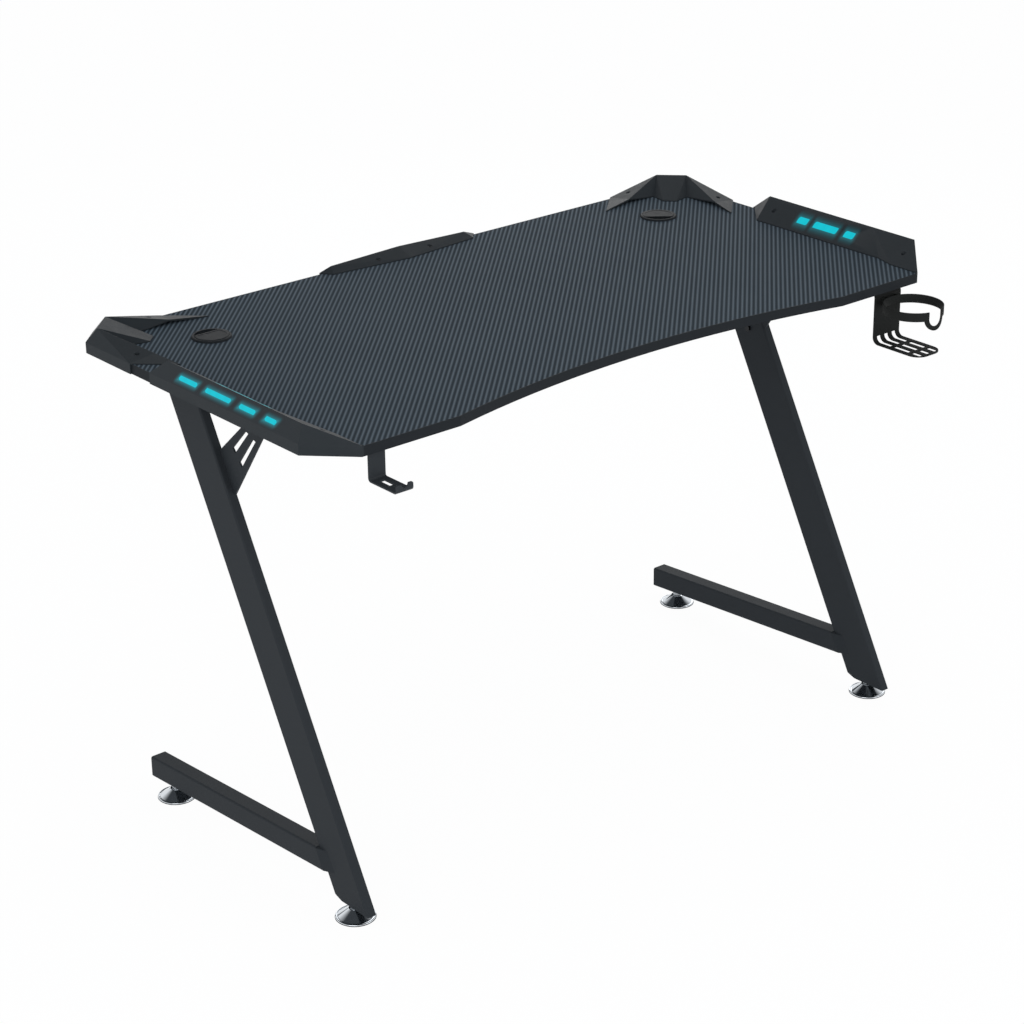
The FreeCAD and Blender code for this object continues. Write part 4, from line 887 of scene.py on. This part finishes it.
class DESK_OT_stage(bpy.types.Operator):
    """Sets up the floor, the soft lamps, the white backdrop and the camera"""

    bl_idname = "desk.stage"
    bl_label = "Studio"

    def execute(self, context):
        scene = context.scene
        scene.view_settings.view_transform = "Standard"
        self.floor(scene)
        self.world(scene)
        for name, setting in LAMPS.items():
            self.lamp(scene, name, *setting)
        self.camera(scene)
        return {"FINISHED"}

    def floor(self, scene):
        """Pale floor that shows almost white but keeps the shadow of the desk."""
        bm = bmesh.new()
        bmesh.ops.create_grid(bm, x_segments=4, y_segments=4, size=FLOOR_HALF)
        bmesh.ops.translate(bm, verts=bm.verts, vec=(0, 0, -FLOOR_DROP))
        mesh = bpy.data.meshes.new("floor")
        bm.to_mesh(mesh)
        bm.free()
        finish = Finish("pale_floor", {"Roughness": 0.9, "Specular IOR Level": 0.0})
        mottle = finish.noise(size=0.4, detail=3.0)
        finish.set({"Base Color": finish.shaded(colours().floor, mottle, depth=0.01)})
        glare = finish.node("ShaderNodeEmission", {}, {"Color": WHITE, "Strength": 1.0})
        seen, gloss = finish.rays()
        both = finish.node("ShaderNodeMixShader", {}, {0: seen.most(gloss) * FLOOR_GLARE,
                                                       1: Wire(finish, finish.shader.outputs[0]), 2: glare})
        finish.feed(finish.tree.nodes["Material Output"].inputs["Surface"], both)
        mesh.materials.append(finish.material)
        piece = bpy.data.objects.new("floor", mesh)
        scene.collection.objects.link(piece)

    def world(self, scene):
        """White to the camera and through glass, white low down in reflections, soft grey light."""
        world = bpy.data.worlds.new("studio")
        world.use_nodes = True
        sky = Graph(world.node_tree)
        way = sky.node("ShaderNodeTexCoord", {}, {}, "Generated")
        height = sky.node("ShaderNodeSeparateXYZ", {}, {"Vector": way}, "Z")
        low = (MIRROR_START - height * MIRROR_FADE).most(0.0).least(1.0)
        seen, gloss = sky.rays()
        mirrored = sky.mix(low, MIRROR_DARK, WHITE)
        tint = sky.mix(seen, sky.mix(gloss, SKY_GREY, mirrored), WHITE)
        sky.feed(sky.tree.nodes["Background"].inputs["Color"], tint)
        scene.world = world

    def lamp(self, scene, name, place, target, width, power):
        light = bpy.data.lights.new(name, "AREA")
        light.shape = "DISK"
        light.size = width
        light.energy = power
        lamp = bpy.data.objects.new(name, light)
        lamp.location = place
        lamp.rotation_euler = (Vector(target) - Vector(place)).to_track_quat("-Z", "Y").to_euler()
        scene.collection.objects.link(lamp)

    def camera(self, scene):
        optics = bpy.data.cameras.new("photo_camera")
        optics.sensor_width = CAMERA_SENSOR
        optics.lens = CAMERA_LENS
        optics.clip_end = CAMERA_FAR
        camera = bpy.data.objects.new("photo_camera", optics)
        camera.location = CAMERA_PLACE
        camera.rotation_euler = CAMERA_TURN
        scene.collection.objects.link(camera)
        scene.camera = camera


class DESK_PT_dresser(bpy.types.Panel):
    """Lists the steps that dress the desk"""

    bl_idname = "DESK_PT_dresser"
    bl_label = "Gaming Desk"
    bl_space_type = "VIEW_3D"
    bl_region_type = "UI"
    bl_category = "Desk"

    def draw(self, context):
        for step in STEPS:
            self.layout.operator(step.bl_idname)
        for group in (context.scene.desk_sizes, context.scene.desk_colours):
            for name in group.__annotations__:
                self.layout.prop(group, name)


STEPS = (DESK_OT_board, DESK_OT_plastics, DESK_OT_lights, DESK_OT_grommets, DESK_OT_frame, DESK_OT_feet,
         DESK_OT_fasteners, DESK_OT_brackets, DESK_OT_sockets, DESK_OT_stage)
CLASSES = (DeskSizes, DeskColours, *STEPS, DESK_PT_dresser)


def register():
    for each in CLASSES:
        bpy.utils.register_class(each)
    bpy.types.Scene.desk_sizes = PointerProperty(type=DeskSizes)
    bpy.types.Scene.desk_colours = PointerProperty(type=DeskColours)


def unregister():
    del bpy.types.Scene.desk_colours
    del bpy.types.Scene.desk_sizes
    for each in reversed(CLASSES):
        bpy.utils.unregister_class(each)


def main():
    register()
    bpy.ops.desk.board()
    bpy.ops.desk.plastics()
    bpy.ops.desk.lights()
    bpy.ops.desk.grommets()
    bpy.ops.desk.frame()
    bpy.ops.desk.feet()
    bpy.ops.desk.fasteners()
    bpy.ops.desk.brackets()
    bpy.ops.desk.sockets()
    bpy.ops.desk.stage()


if __name__ == "__main__":
    main()
